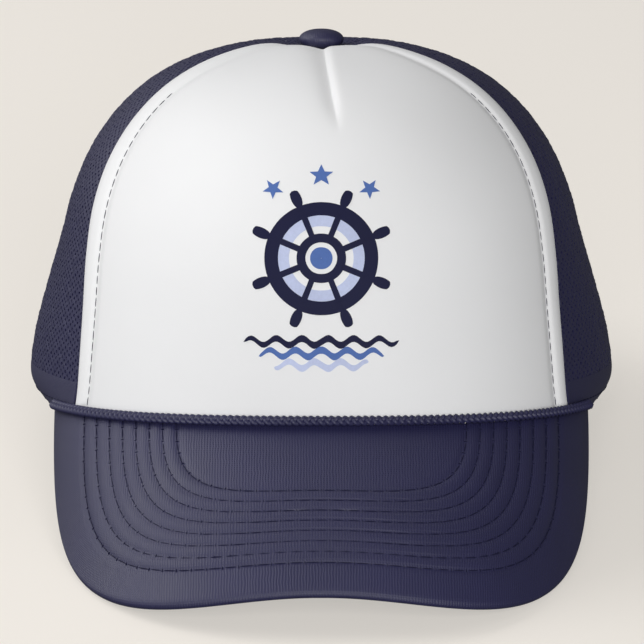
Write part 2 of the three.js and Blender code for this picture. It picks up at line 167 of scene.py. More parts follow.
class CapColours(bpy.types.PropertyGroup):
    """Colours of the cap"""

    white: colour("White", (0.82, 0.82, 0.825), "Cloth of the front panel")
    navy: colour("Navy", (0.0075, 0.0068, 0.054), "Cloth of the brim, bands and button, and the braid")
    net: colour("Net", (0.0075, 0.0068, 0.054), "Mesh of the sides and back")
    thread: colour("Thread", (0.009, 0.009, 0.032), "Sewing thread")
    plastic: colour("Plastic", (0.006, 0.006, 0.03), "Strap")
    ink_dark: colour("Dark ink", (0.008, 0.009, 0.04), "Emblem")
    ink_blue: colour("Blue ink", (0.08, 0.15, 0.4), "Emblem")
    ink_pale: colour("Pale ink", (0.5, 0.55, 0.75), "Emblem")
    floor: colour("Floor", (0.45, 0.42, 0.385), "Floor of the stage")
    floor_glow: colour("Floor glow", (0.465, 0.447, 0.419), "Light that the floor gives by itself")


# The cap's surfaces

def smooth(value, low, high):
    t = np.clip((value - low) / (high - low), 0, 1)
    return t * t * (3 - 2 * t)


def signed_power(value, power):
    return np.sign(value) * np.abs(value) ** power


def mix(a, b, t):
    return a + (b - a) * t


class Cap:
    """The cap's surfaces. Angles go round the crown from the middle of its front, levels up from the hem."""

    def __init__(self, sizes):
        self.size = sizes
        self.half_width = sizes.head_width / 2
        self.half_length = sizes.head_length / 2
        levels = np.linspace(0, 1, 2001)
        rises = sizes.crown_height * self.section(levels, "rise")
        climb = levels <= levels[np.argmax(rises)]
        self.heights = (rises[climb], levels[climb])
        widths = self.half_width * self.section(levels, "width")
        high = levels > 0.8
        self.radii = (-widths[high], levels[high])
        self.top_level = float(self.level_at_radius(sizes.stem_diameter / 2 + sizes.stem_clearance))
        self.brim_reach = sizes.brim_length * math.cos(sizes.brim_droop)
        offset = sizes.foam_proud + sizes.seam_gap
        self.root_width = self.half_width + offset
        self.root_length = self.half_length + offset
        self.tip_side = self.root_width - sizes.tip_inset
        self.tip_angle = math.asin((self.tip_side / self.root_width) ** (sizes.front_squareness / 2))
        button_rise = sizes.button_thickness / 2
        self.button_middle = float(self.bare(0.0, 1.0)[2]) + sizes.seam_gap + button_rise
        self.turn, self.shift = self.rest_place()

    def level_at_height(self, height):
        return np.interp(height, *self.heights)

    def level_at_radius(self, radius):
        """The level near the top at which the crown is this far to the side of its middle."""
        return np.interp(-radius, *self.radii)

    def section(self, level, column):
        """A share from SECTIONS at any level, on a smooth curve through its values."""
        values = SECTIONS[column]
        last = len(values) - 1
        place = np.clip(np.asarray(level, float), 0, 1) * last
        index = np.minimum(place.astype(int), last - 1)
        t = place - index
        start, end = values[index], values[index + 1]
        before = values[np.maximum(index - 1, 0)]
        mirrored = start if column == "rise" else -start
        after = np.where(index + 2 <= last, values[np.minimum(index + 2, last)], mirrored)
        slope, next_slope = (end - before) / 2, (after - start) / 2
        return (
            (2 * t**3 - 3 * t**2 + 1) * start
            + (t**3 - 2 * t**2 + t) * slope
            + (3 * t**2 - 2 * t**3) * end
            + (t**3 - t**2) * next_slope
        )

    def hem_rise(self, around):
        return self.size.hem_arch * np.maximum(0, np.cos(around)) ** 2

    def bare(self, around, level):
        """Points of the crown's surface, which is the outer face of the mesh."""
        around, level = np.broadcast_arrays(np.asarray(around, float), np.asarray(level, float))
        ahead = np.cos(around) > 0
        squareness = np.where(ahead, self.size.front_squareness, self.size.back_squareness)
        power = 2 / mix(squareness, 2, np.clip(level, 0, 1) ** 1.5)
        degrees = np.abs(np.degrees(around))
        flare = smooth(degrees, *FLARE_START) * (1 - FLARE_LOSS * smooth(degrees, *FLARE_FALL))
        reach_x = self.half_width * self.section(level, "width")
        reach_x = reach_x + self.size.side_flare * self.section(level, "flare") * flare
        lengths = np.where(ahead, self.section(level, "front"), self.section(level, "back"))
        reach_y = self.half_length * lengths
        x = reach_x * signed_power(np.sin(around), power)
        y = -reach_y * signed_power(np.cos(around), power)
        z = self.size.crown_height * self.section(level, "rise") + self.hem_rise(around) * (1 - level) ** 2
        return np.stack([x, y, z], -1)

    def normal(self, around, level):
        around, level = np.broadcast_arrays(np.asarray(around, float), np.asarray(level, float))
        step = 0.004
        low = np.clip(level - step, 0, 1 - 3 * step)
        across = self.bare(around + step, low + step) - self.bare(around - step, low + step)
        up = self.bare(around, low + 2 * step) - self.bare(around, low)
        normal = np.cross(across, up)
        normal /= np.linalg.norm(normal, axis=-1, keepdims=True)
        normal[..., 2] *= smooth(level, 0, UPRIGHT_LEVEL)
        return normal / np.linalg.norm(normal, axis=-1, keepdims=True)

    def point(self, around, level, stand):
        stand = np.asarray(stand, float)
        return self.bare(around, level) + self.normal(around, level) * stand[..., None]

    def run(self, around, level):
        """Length along the surface for each radian round it."""
        step = 0.01
        across = self.bare(around + step, level) - self.bare(around - step, level)
        return np.linalg.norm(across, axis=-1) / (2 * step)

    def shifted(self, around, level, distance):
        """The angle this distance further round."""
        return around + distance / self.run(around, level)

    def front_seam(self, level):
        climbed = smooth(np.asarray(level, float), *SEAM_TURN)
        return mix(self.size.seam_at_hem, self.size.seam_at_top, climbed)

    def back_seam(self, level):
        return np.full_like(np.asarray(level, float), self.size.back_seam)

    def centre_back(self, level):
        return np.full_like(np.asarray(level, float), math.pi)

    def back_angle(self, side, level):
        """Where the crown is this far to the side of its middle, at the back."""
        power = mix(self.size.back_squareness, 2, np.asarray(level, float) ** 1.5) / 2
        sine = np.clip(np.abs(side) / (self.half_width * self.section(level, "width")), 0, 1) ** power
        return np.where(np.asarray(side) < 0, -1, 1) * (math.pi - np.arcsin(sine))

    def foam_stand(self, level):
        return self.size.foam_proud * (1 - smooth(level, PRESSED_LEVEL, self.top_level))

    def rest_place(self):
        """How the resting cap is turned and where it stands, read from its button, which sits on the top."""
        node = frame["nodes"]["top_button"]
        points = np.array([node.matrix_world @ v.co for v in node.data.vertices])
        points = np.unique(np.round(points, 7), axis=0)
        centre = points.mean(axis=0)
        _, axes = np.linalg.eigh(np.cov((points - centre).T))
        axis = axes[:, np.argmax(np.abs(axes[2]))]
        axis = axis * np.sign(axis[2])
        turn = np.array([[1, 0, 0], [0, axis[2], axis[1]], [0, -axis[1], axis[2]]])
        top = centre + axis * ((points - centre) @ axis).max()
        shift = top - turn @ np.array([0, 0, self.button_middle + self.size.button_thickness / 2])
        return turn, shift

    def rest(self, points):
        return points @ self.turn.T + self.shift

    def root(self, side):
        """How far forward the root of the brim is, and how high, this far to the side of its middle."""
        sine = np.clip(np.abs(side) / self.root_width, 0, 1) ** (self.size.front_squareness / 2)
        cosine = np.sqrt(1 - sine**2)
        return self.root_length * cosine ** (2 / self.size.front_squareness), self.size.hem_arch * cosine**2

    def brim_height(self, x, forward):
        share = np.minimum(np.abs(x) / self.tip_side, 1)
        root_forward, rise = self.root(x)
        droop = mix(self.size.brim_droop, self.size.side_droop, share**2)
        out = (forward - root_forward) / self.brim_reach
        bow = self.size.brim_bow * 4 * out * (1 - out) * (1 - share**2)
        return rise - (forward - root_forward) * np.tan(droop) + bow - self.size.seam_gap

    def brim_plan(self, s, t):
        """A place on the brim: s from tip to tip, t from its root to its edge."""
        across = 2 * s - 1
        power = 2 / self.size.front_squareness
        root_x = self.root_width * signed_power(np.sin(across * self.tip_angle), power)
        turn = across * BRIM_TIP_TURN
        shape = (self.size.brim_squareness, self.size.brim_taper)
        edge_x, edge_forward = self.edge_curve(turn, self.tip_side, self.brim_reach, shape)
        return mix(root_x, edge_x, t), mix(self.root(root_x)[0], edge_forward, t)

    def edge_curve(self, turn, side, reach, shape):
        """A curve like the brim's edge, from the root this far aside. shape is its squareness and taper."""
        power = 2 / shape[0]
        x = side * signed_power(np.sin(turn), power) * mix(1, shape[1], np.cos(turn))
        return x, mix(self.root(side)[0], self.root_length + reach, np.abs(np.cos(turn)) ** power)

    def brim_point(self, x, forward, drop):
        """Points this far under the brim's upper face."""
        step = 0.2 * MM
        height = self.brim_height
        slope_x = (height(x + step, forward) - height(x - step, forward)) / (2 * step)
        slope_f = (height(x, forward + step) - height(x, forward - step)) / (2 * step)
        normal = np.stack([-slope_x, slope_f, np.ones_like(slope_x)], -1)
        normal /= np.linalg.norm(normal, axis=-1, keepdims=True)
        surface = np.stack([x, -forward, height(x, forward)], -1)
        return surface - normal * np.asarray(drop, float)[..., None]


class Patch:
    """A stretch of the crown between two seams, laid flat: across its middle line, and along it."""

    def __init__(self, cap, left, right, rows=260, columns=61):
        self.cap = cap
        self.levels = np.linspace(0, cap.top_level, rows)
        shares = np.linspace(0, 1, columns)
        self.angles = mix(left(self.levels)[:, None], right(self.levels)[:, None], shares[None])
        points = cap.bare(self.angles, self.levels[:, None])
        runs = np.linalg.norm(np.diff(points, axis=1), axis=-1)
        across = np.concatenate([np.zeros((rows, 1)), np.cumsum(runs, axis=1)], axis=1)
        self.across = across - across[:, -1:] / 2
        middle = cap.bare((left(self.levels) + right(self.levels)) / 2, self.levels)
        climbs = np.linalg.norm(np.diff(middle, axis=0), axis=-1)
        self.along = np.concatenate([[0], np.cumsum(climbs)])

    def place(self, across, along):
        """Angles and levels of flat places. A place past a seam goes onto the seam."""
        across, along = np.broadcast_arrays(np.asarray(across, float), np.asarray(along, float))
        flat_across, flat_along = across.ravel(), along.ravel()
        row = np.interp(flat_along, self.along, np.arange(len(self.levels)))
        low = np.minimum(row.astype(int), len(self.levels) - 2)
        t = (row - low)[:, None]
        widths = mix(self.across[low], self.across[low + 1], t)
        angles = mix(self.angles[low], self.angles[low + 1], t)
        found = np.array([np.interp(x, w, a) for x, w, a in zip(flat_across, widths, angles)])
        levels = mix(self.levels[low], self.levels[low + 1], t[:, 0])
        return found.reshape(across.shape), levels.reshape(across.shape)

    def half_width(self, along):
        return np.interp(along, self.along, self.across[:, -1])


# Meshes

def new_mesh(name, points, faces, uvs=None):
    mesh = bpy.data.meshes.new(name)
    mesh.from_pydata(points.tolist(), [], [list(map(int, face)) for face in faces])
    if uvs is not None:
        layer = mesh.uv_layers.new(name="cloth")
        corners = np.empty(len(mesh.loops), int)
        mesh.loops.foreach_get("vertex_index", corners)
        layer.data.foreach_set("uv", uvs[corners].astype(np.float32).ravel())
    mesh.validate()
    return mesh


def volume(points, faces):
    faces = np.asarray(faces)
    total = 0.0
    for i in range(1, faces.shape[1] - 1):
        a, b, c = points[faces[:, 0]], points[faces[:, i]], points[faces[:, i + 1]]
        total += np.einsum("ij,ij->i", a, np.cross(b, c)).sum()
    return total


def flat_places(sheet):
    """Distances across and along a grid of points, in millimetres, from its middle and its first row."""
    across = np.linalg.norm(np.diff(sheet, axis=1), axis=-1)
    across = np.concatenate([np.zeros((len(sheet), 1)), np.cumsum(across, axis=1)], axis=1)
    across -= across[:, -1:] / 2
    along = np.linalg.norm(np.diff(sheet, axis=0), axis=-1).mean(axis=1)
    along = np.concatenate([[0], np.cumsum(along)])
    return np.stack([across, np.broadcast_to(along[:, None], across.shape)], -1) / MM


def shell(outer, inner):
    """Points, faces and flat places of a closed sheet between two grids of points."""
    rows, columns = outer.shape[:2]
    count = rows * columns
    grid = np.arange(count).reshape(rows, columns)
    quads = np.stack([grid[:-1, :-1], grid[:-1, 1:], grid[1:, 1:], grid[1:, :-1]], -1).reshape(-1, 4)
    ring = np.concatenate([grid[0, :-1], grid[:-1, -1], grid[-1, :0:-1], grid[:0:-1, 0]])
    following = np.roll(ring, -1)
    rim = np.stack([following, ring, ring + count, following + count], -1)
    faces = np.concatenate([quads, quads[:, ::-1] + count, rim])
    points = np.concatenate([outer.reshape(-1, 3), inner.reshape(-1, 3)])
    if volume(points, faces) < 0:
        faces = faces[:, ::-1]
    places = flat_places(outer).reshape(-1, 2)
    return points, faces, np.concatenate([places, places])


def tube(path, side, up, radius, sides=8):
    """Points, faces and flat places of an oval tube. side and up span its section all along the path."""
    turns = np.linspace(0, 2 * math.pi, sides, endpoint=False)
    wide, high = (np.broadcast_to(value, len(path))[:, None, None] for value in radius)
    ring = path[:, None] + side[:, None] * wide * np.cos(turns)[None, :, None]
    ring = ring + up[:, None] * high * np.sin(turns)[None, :, None]
    points = ring.reshape(-1, 3)
    grid = np.arange(len(path) * sides).reshape(len(path), sides)
    beside = np.roll(grid, -1, axis=1)
    faces = list(np.stack([grid[:-1], beside[:-1], beside[1:], grid[1:]], -1).reshape(-1, 4))
    faces += [grid[0][::-1], grid[-1]]
    return points, faces, np.zeros((len(points), 2))


def join(parts):
    """Points, faces and flat places of several meshes as one."""
    faces, start = [], 0
    for points, own_faces, _ in parts:
        faces += [[int(i) + start for i in face] for face in own_faces]
        start += len(points)
    return np.concatenate([part[0] for part in parts]), faces, np.concatenate([part[2] for part in parts])


def finish_piece(cap, name, part, material, replaced=(), sharp=40):
    """A piece from points, faces and flat places in the upright frame, in the material of that name."""
    points, faces, places = part
    mesh = new_mesh(name, cap.rest(points), faces, places)
    mesh.shade_smooth()
    mesh.set_sharp_from_angle(angle=math.radians(sharp))
    return place_piece(name, mesh, cap_material(material), replaced)


def place_piece(name, mesh, material, replaced=()):
    """Puts a finished mesh into the scene as a piece that rides on the cap."""
    mesh.name = name
    mesh.materials.clear()
    mesh.materials.append(material)
    piece = bpy.data.objects.new(name, mesh)
    bpy.context.scene.collection.objects.link(piece)
    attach(piece, BODY)
    if replaced:
        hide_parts(*replaced)
    return piece


# Nodes and materials

class Wire:
    """A socket that takes part in Python arithmetic by adding Math nodes."""

    def __init__(self, board, socket):
        self.board = board
        self.socket = socket

    def calculate(self, operation, *others):
        return self.board.maths(operation, self, *others)

    def __add__(self, other):
        return self.calculate("ADD", other)

    def __sub__(self, other):
        return self.calculate("SUBTRACT", other)

    def __mul__(self, other):
        return self.calculate("MULTIPLY", other)

    def __rsub__(self, other):
        return self.board.maths("SUBTRACT", other, self)

    __radd__ = __add__
    __rmul__ = __mul__

    def sine(self):
        return self.calculate("SINE")


class Board:
    """A node tree, with one way to add a node: its type, its settings, then what goes into its sockets."""

    def __init__(self, tree):
        self.tree = tree

    def node(self, kind, settings=None, values=None, out=0):
        made = self.tree.nodes.new(kind)
        for name, value in (settings or {}).items():
            setattr(made, name, value)
        for name, value in (values or {}).items():
            self.feed(made.inputs[name], value)
        return Wire(self, made.outputs[out]) if len(made.outputs) else made

    def feed(self, socket, value):
        if isinstance(value, Wire):
            self.tree.links.new(value.socket, socket)
        else:
            socket.default_value = value

    def maths(self, operation, *terms):
        return self.node("ShaderNodeMath", {"operation": operation}, dict(enumerate(terms)))

    def output(self, wire, name):
        """Another output of the node that a wire comes from."""
        return Wire(self, wire.socket.node.outputs[name])


# Navy cloth and yarn shine faintly all over, which lifts them on the lit side. Thread and ink are dull.
SHINE = {"Specular_IOR_Level": 0.8}
DULL = {"Specular_IOR_Level": 0.2}


def start_material(name):
    material = bpy.data.materials.new(name)
    material.use_nodes = True
    material.node_tree.nodes.clear()
    return material, Board(material.node_tree)


def end_material(board, colour_wire, roughness, height=None, strength=0.5, distance=0.2 * MM, **fixed):
    """Joins colour, roughness and height to one shader. What is in fixed is the same all over."""
    values = {"Base Color": colour_wire, "Roughness": roughness}
    if height is not None:
        bump = {"Height": height, "Strength": strength, "Distance": distance}
        values["Normal"] = board.node("ShaderNodeBump", None, bump)
    for socket, value in fixed.items():
        values[socket.replace("_", " ")] = value
    shader = board.node("ShaderNodeBsdfPrincipled", None, values)
    board.node("ShaderNodeOutputMaterial", None, {"Surface": shader})


def tinted(board, shade, amount, factor):
    """A colour that varies about a shade, darker where the factor is low."""
    low = tuple(c * (1 - amount) for c in shade)
    high = tuple(min(1, c * (1 + amount)) for c in shade)
    settings = {"data_type": "RGBA"}
    return board.node("ShaderNodeMix", settings, {0: factor, 6: (*low, 1), 7: (*high, 1)}, out=2)


def noise(board, place, scale, detail=4.0, roughness=0.55):
    values = {"Vector": place, "Scale": scale, "Detail": detail, "Roughness": roughness}
    return board.node("ShaderNodeTexNoise", None, values)


def flat_coordinates(board):
    """Distances across and along the cloth, in millimetres."""
    uv = board.node("ShaderNodeUVMap", {"uv_map": "cloth"})
    across = board.node("ShaderNodeSeparateXYZ", None, {0: uv})
    return uv, across, board.output(across, "Y")


def object_coordinates(board):
    place = board.node("ShaderNodeTexCoord")
    return board.output(place, "Object")


def ribbed_cloth(name, shade, pitch, rib):
    """Closely woven cloth with fine ribs along it, one to each pitch in millimetres. rib is their height."""
    material, board = start_material(name)
    uv, across, along = flat_coordinates(board)
    place = object_coordinates(board)
    wobble = noise(board, uv, 0.35, 2.0) * 0.9
    ribs = ((across + wobble) * (2 * math.pi / pitch)).sine() * 0.5 + 0.5
    picks = ((along + ribs * 0.3 * pitch) * (2 * math.pi / (0.8 * pitch))).sine() * 0.5 + 0.5
    fibre = noise(board, uv, 3.0, 5.0, 0.7)
    patches = noise(board, place, 45.0, 3.0)
    height = ribs * rib + picks * 0.35 + fibre * 0.5
    # The colour is darker where the weave is low: painted shade in the grooves between its ribs and picks,
    # with tone that differs at random from the fibre and the patches
    colour_wire = tinted(board, shade, 0.4, height * 0.4 + patches * 0.4)
    rough = fibre * 0.12 + patches * 0.1 + 0.49
    end_material(board, colour_wire, rough, height, 0.7, 0.15 * MM, **SHINE)
    return material


def smooth_cloth(name, shade):
    """Fine white cloth over foam, with a faint weave and soft unevenness."""
    material, board = start_material(name)
    uv, across, along = flat_coordinates(board)
    place = object_coordinates(board)
    weave = (across * (2 * math.pi / 0.55)).sine() * (along * (2 * math.pi / 0.55)).sine() * 0.5 + 0.5
    fibre = noise(board, uv, 1.6, 5.0, 0.7)
    patches = noise(board, place, 22.0, 3.0)
    height = weave * 0.5 + fibre * 0.6
    # The colour is faintly darker where the weave is low: painted shade in its grooves, with tone that
    # differs at random from the fibre and the patches
    colour_wire = tinted(board, shade, 0.045, patches * 0.6 + weave * 0.2 + fibre * 0.2)
    end_material(
        board, colour_wire, fibre * 0.1 + 0.8, height, 0.35, 0.08 * MM,
        Sheen_Weight=0.15, Sheen_Roughness=0.6, Specular_IOR_Level=0.2, Subsurface_Weight=0.06,
        Subsurface_Radius=(0.004, 0.004, 0.004),
    )
    return material


def plain_finish(name, shade, roughness, grain, depth, **fixed):
    """A finish with only a fine grain, such as thread, yarn, ink or moulded plastic."""
    material, board = start_material(name)
    place = object_coordinates(board)
    fine = noise(board, place, grain, 4.0, 0.6)
    patches = noise(board, place, 60.0, 2.0)
    colour_wire = tinted(board, shade, 0.25, fine * 0.5 + patches * 0.5)
    end_material(board, colour_wire, fine * 0.12 + (roughness - 0.06), fine, 0.4, depth, **fixed)
    return material


# What makes each material, the colour it takes, its maker's own settings, and what is the same all over it
FINISHES = {
    "front_cloth": (smooth_cloth, "white", (), {}),
    "brim_twill": (ribbed_cloth, "navy", (0.85, 0.6), {}),
    "band_cloth": (ribbed_cloth, "navy", (0.6, 0.5), {}),
    "tape_cloth": (ribbed_cloth, "navy", (0.7, 0.7), {}),
    "button_weave": (ribbed_cloth, "navy", (0.6, 0.4), {}),
    "braid_yarn": (plain_finish, "navy", (0.6, 900.0, 0.15 * MM), SHINE),
    "net_yarn": (plain_finish, "net", (0.6, 1500.0, 0.05 * MM), SHINE),
    "thread": (plain_finish, "thread", (0.7, 2000.0, 0.05 * MM), DULL),
    "strap_finish": (plain_finish, "plastic", (0.42, 700.0, 0.02 * MM), {}),
    "ink_dark": (plain_finish, "ink_dark", (0.7, 1200.0, 0.03 * MM), DULL),
    "ink_blue": (plain_finish, "ink_blue", (0.7, 1200.0, 0.03 * MM), DULL),
    "ink_pale": (plain_finish, "ink_pale", (0.7, 1200.0, 0.03 * MM), DULL),
}


def cap_material(name):
    """The material of that name, made the first time it is asked for."""
    if name in bpy.data.materials:
        return bpy.data.materials[name]
    maker, shade, settings, fixed = FINISHES[name]
    return maker(name, tuple(getattr(bpy.context.scene.cap_colours, shade)), *settings, **fixed)


# Geometry nodes

def geometry_board(name, inputs):
    """A new geometry node tree with these inputs, its board and a dictionary of wires from its inputs."""
    tree = bpy.data.node_groups.new(name, "GeometryNodeTree")
    tree.interface.new_socket("Geometry", in_out="INPUT", socket_type="NodeSocketGeometry")
    for label, kind in inputs.items():
        tree.interface.new_socket(label, in_out="INPUT", socket_type=kind)
    tree.interface.new_socket("Geometry", in_out="OUTPUT", socket_type="NodeSocketGeometry")
    board = Board(tree)
    first = board.node("NodeGroupInput")
    wires = {label: board.output(first, label) for label in ["Geometry", *inputs]}
    return board, wires


def net_tree():
    """Opens a hole in every face and leaves the bars between them."""
    inputs = {"Open share": "NodeSocketFloat", "Material": "NodeSocketMaterial"}
    board, wires = geometry_board("open_net", inputs)
    values = {"Mesh": wires["Geometry"], "Offset Scale": 0.0, "Individual": True}
    raised = board.node("GeometryNodeExtrudeMesh", {"mode": "FACES"}, values)
    top = board.output(raised, "Top")
    values = {"Geometry": raised, "Selection": top, "Scale": wires["Open share"]}
    shrunk = board.node("GeometryNodeScaleElements", {"domain": "FACE"}, values)
    values = {"Geometry": shrunk, "Selection": top}
    opened = board.node("GeometryNodeDeleteGeometry", {"domain": "FACE"}, values)
    end_geometry(board, opened, wires["Material"])
    return board.tree


def stitch_tree():
    """Lays a thread stitch at every pitch along each line of edges."""
    inputs = {
        "Pitch": "NodeSocketFloat", "Length": "NodeSocketFloat", "Width": "NodeSocketFloat",
        "Seed": "NodeSocketInt", "Material": "NodeSocketMaterial",
    }
    board, wires = geometry_board("stitches", inputs)
    line = board.node("GeometryNodeMeshToCurve", None, {"Mesh": wires["Geometry"]})
    values = {"Curve": line, "Length": wires["Pitch"]}
    spots = board.node("GeometryNodeCurveToPoints", {"mode": "LENGTH"}, values)
    ball = board.node("GeometryNodeMeshUVSphere", None, {"Segments": 8, "Rings": 6, "Radius": 0.5})
    values = {2: 0.88, 3: 1.06, "Seed": wires["Seed"]}
    vary = board.node("FunctionNodeRandomValue", {"data_type": "FLOAT"}, values, out=1)
    long = wires["Length"] * vary
    size = board.node("ShaderNodeCombineXYZ", None, {0: wires["Width"], 1: wires["Width"], 2: long})
    values = {"Points": spots, "Instance": ball, "Rotation": board.output(spots, "Rotation"), "Scale": size}
    laid = board.node("GeometryNodeInstanceOnPoints", None, values)
    end_geometry(board, laid, wires["Material"])
    return board.tree


def end_geometry(board, wire, material):
    real = board.node("GeometryNodeRealizeInstances", None, {0: wire})
    painted = board.node("GeometryNodeSetMaterial", None, {"Geometry": real, "Material": material})
    board.node("NodeGroupOutput", None, {"Geometry": painted})


def grown(name, mesh, tree, values, modifiers=()):
    """The plain mesh that a geometry node tree makes of a mesh, with other modifiers after it."""
    host = bpy.data.objects.new(f"{name}_host", mesh)
    bpy.context.scene.collection.objects.link(host)
    nodes = host.modifiers.new("nodes", "NODES")
    nodes.node_group = tree
    for item in tree.interface.items_tree:
        if item.in_out == "INPUT" and item.name in values:
            nodes[item.identifier] = values[item.name]
    for kind, settings in modifiers:
        extra = host.modifiers.new(kind.lower(), kind)
        for key, value in settings.items():
            setattr(extra, key, value)
    graph = bpy.context.evaluated_depsgraph_get()
    made = bpy.data.meshes.new_from_object(host.evaluated_get(graph), depsgraph=graph)
    bpy.data.objects.remove(host)
    return made


def cached_tree(name, maker):
    return bpy.data.node_groups.get(name) or maker()


def stitches(cap, name, lines, pitch, long, wide, seed=1):
    """Rows of stitches along lines of points in the upright frame."""
    points, edges, start = [], [], 0
    for line in lines:
        points.append(cap.rest(line))
        edges += [(start + i, start + i + 1) for i in range(len(line) - 1)]
        start += len(line)
    mesh = bpy.data.meshes.new(f"{name}_lines")
    mesh.from_pydata(np.concatenate(points).tolist(), edges, [])
    thread = cap_material("thread")
    values = {"Pitch": pitch, "Length": long, "Width": wide, "Seed": seed, "Material": thread}
    made = grown(name, mesh, cached_tree("stitches", stitch_tree), values)
    made.shade_smooth()
    return place_piece(name, made, thread)


# Front panel

RIM_WIDTH = (7.0 * MM, 10.0 * MM)       # from the seam to the top-stitching, at the hem and higher up
RIM_PUFF = 0.6 * MM
EDGE_ROLL = 2.2 * MM                    # how far in from the seam the edge is rolled
ROLL_DEPTH = 1.5 * MM
GROOVE_DEPTH = 0.85 * MM
GROOVE_WIDTH = (1.0 * MM, 2.2 * MM)     # on the rim's side and on the panel's side
SEWN_TO = 0.69                          # the top-stitching stops at this level
UNEVENNESS = 0.18 * MM                  # of the foam's face, all over
# The dart's line starts beside the middle and leans away as it goes down. left and right are its widths. Its
# shape is the exponent of its section, and it fades between shares of its length.
DART = {
    "length": 82 * MM, "depth": 1.5 * MM, "start": 0.5 * MM, "lean": 4.6 * MM, "bend": 2.2,
    "left": 3.6 * MM, "right": 1.2 * MM, "shape": 1.4, "upper_fade": (0.05, 0.3), "lower_fade": (0.8, 1.03),
}


def dart_dent(cap, around, level):
    """How deep the dart is. It falls gently from the left and rises steeply on the right."""
    point = cap.bare(around, level)
    x, y, z = point[..., 0], point[..., 1], point[..., 2]
    down = np.hypot(y, cap.size.crown_height - z) / DART["length"]
    aside = x - DART["start"] - DART["lean"] * np.minimum(down, 1.5) ** DART["bend"]
    width = np.where(aside < 0, DART["left"] * mix(1.2, 0.7, np.minimum(down, 1)), DART["right"])
    valley = np.exp(-np.abs(aside / width) ** DART["shape"])
    fade = (1 - smooth(down, *DART["lower_fade"])) * smooth(down, *DART["upper_fade"])
    return np.where(y < 0, DART["depth"] * valley * fade, 0)


def rim_width(level):
    return mix(*RIM_WIDTH, smooth(level, 0, 0.55)) * (1 - 0.6 * smooth(level, 0.75, 1))


def front_relief(cap, around, level):
    """Stand of the front cloth's face: rolled and puffed rim, sewn groove, dart and soft unevenness."""
    inset = (cap.front_seam(level) - np.abs(around)) * cap.run(around, level)
    roll = np.clip(1 - inset / EDGE_ROLL, 0, 1)
    stand = cap.foam_stand(level) - ROLL_DEPTH * (1 - np.sqrt(np.clip(1 - roll**2, 0, 1)))
    rim = rim_width(level)
    calm = 1 - 0.6 * smooth(level, 0.8, 0.97)
    swell = 1 - smooth(level, 0.7, 0.92)
    stand = stand + RIM_PUFF * swell * np.sin(np.clip(inset / rim, 0, 1) * math.pi) ** 1.5
    sewn = 1 - 0.2 * smooth(level, SEWN_TO - 0.02, SEWN_TO + 0.06)
    widening = mix(1, 1.4, smooth(level, SEWN_TO, 0.8))
    across = (inset - rim) / (np.where(inset < rim, *GROOVE_WIDTH) * widening)
    stand = stand - GROOVE_DEPTH * sewn * calm * np.exp(-(across**2))
    wave = np.sin(around * 5.3 + level * 4) * np.sin(level * 9 + around * 2.1)
    return stand + UNEVENNESS * wave - dart_dent(cap, around, level)


def crowded(count, places, width, amount):
    """Shares from -1 to 1 that lie closer together about some places."""
    fine = np.linspace(-1, 1, 4001)
    density = 1 + sum(amount * np.exp(-(((fine - place) / width) ** 2)) for place in places)
    gone = np.cumsum(density)
    return np.interp(np.linspace(gone[0], gone[-1], count), gone, fine)


FRONT_GRID = {"quick": (230, 110), "full": (264, 130)}
CROWDED_AT = (-1, 0.045, 1)             # both rims and the dart, as shares of the way to the seam
ROW_CROWDING = 1.15                     # exponent that sets the front's rows closer near the hem


def front_panel(cap):
    """The padded front with its top-stitching. It is one closed sheet, as thick as the foam."""
    columns, rows = FRONT_GRID["full"]
    spread = crowded(columns, CROWDED_AT, 0.1, 4)
    level = mix(0, cap.top_level, np.linspace(0, 1, rows) ** ROW_CROWDING)[:, None]
    seam = cap.shifted(cap.front_seam(level), level, -cap.size.seam_gap / 2)
    around = seam * spread[None]
    outer = cap.point(around, level, front_relief(cap, around, level))
    back = cap.size.foam_proud - cap.size.foam_thickness
    inner = cap.point(around, level, back - dart_dent(cap, around, level))
    part = shell(outer, inner)
    piece = finish_piece(cap, "front_cloth", part, "front_cloth", ["front_panel"])
    lines = []
    for side in (-1, 1):
        level = np.linspace(0.012, SEWN_TO, 160)
        place = side * cap.shifted(cap.front_seam(level), level, -rim_width(level))
        lines.append(cap.point(place, level, front_relief(cap, place, level) + 0.05 * MM))
    stitches(cap, "front_topstitch", lines, pitch=3.3 * MM, long=cap.size.stitch_length, wide=0.26 * MM)


# Emblem

def ring_shape(inner, outer, centre, steps=96):
    """A flat ring as a grid from its inner to its outer edge."""
    turn = np.linspace(0, 2 * math.pi, steps + 1)
    radius = np.linspace(inner, outer, 4)[:, None]
    return np.stack([centre[0] + radius * np.cos(turn), centre[1] + radius * np.sin(turn)], -1)


def spoke_shape(direction, centre, inner, rim, outer):
    """A turned spoke with a handle past the rim."""
    along = np.concatenate([np.linspace(inner, rim, 10), np.linspace(rim, outer, 14)[1:]])
    past = np.clip((along - rim) / (outer - rim), 0, 1)
    half = mix(0.9, 1.55, np.sin(past * math.pi) ** 0.6) * np.where(past >= 1, 0.5, 1)
    across = np.linspace(-1, 1, 5)[:, None] * half
    c, s = math.cos(direction), math.sin(direction)
    return np.stack([centre[0] + along * c - across * s, centre[1] + along * s + across * c], -1)


def star_shape(centre, radius, turn):
    """A five-pointed star as a grid from its middle to its outline."""
    turns = turn + math.pi / 2 + np.arange(11) * math.pi / 5
    reach = np.where(np.arange(11) % 2, 0.42, 1.0) * radius
    out = np.linspace(0, 1, 4)[:, None]
    reach = out * reach
    return np.stack([centre[0] + reach * np.cos(turns), centre[1] + reach * np.sin(turns)], -1)


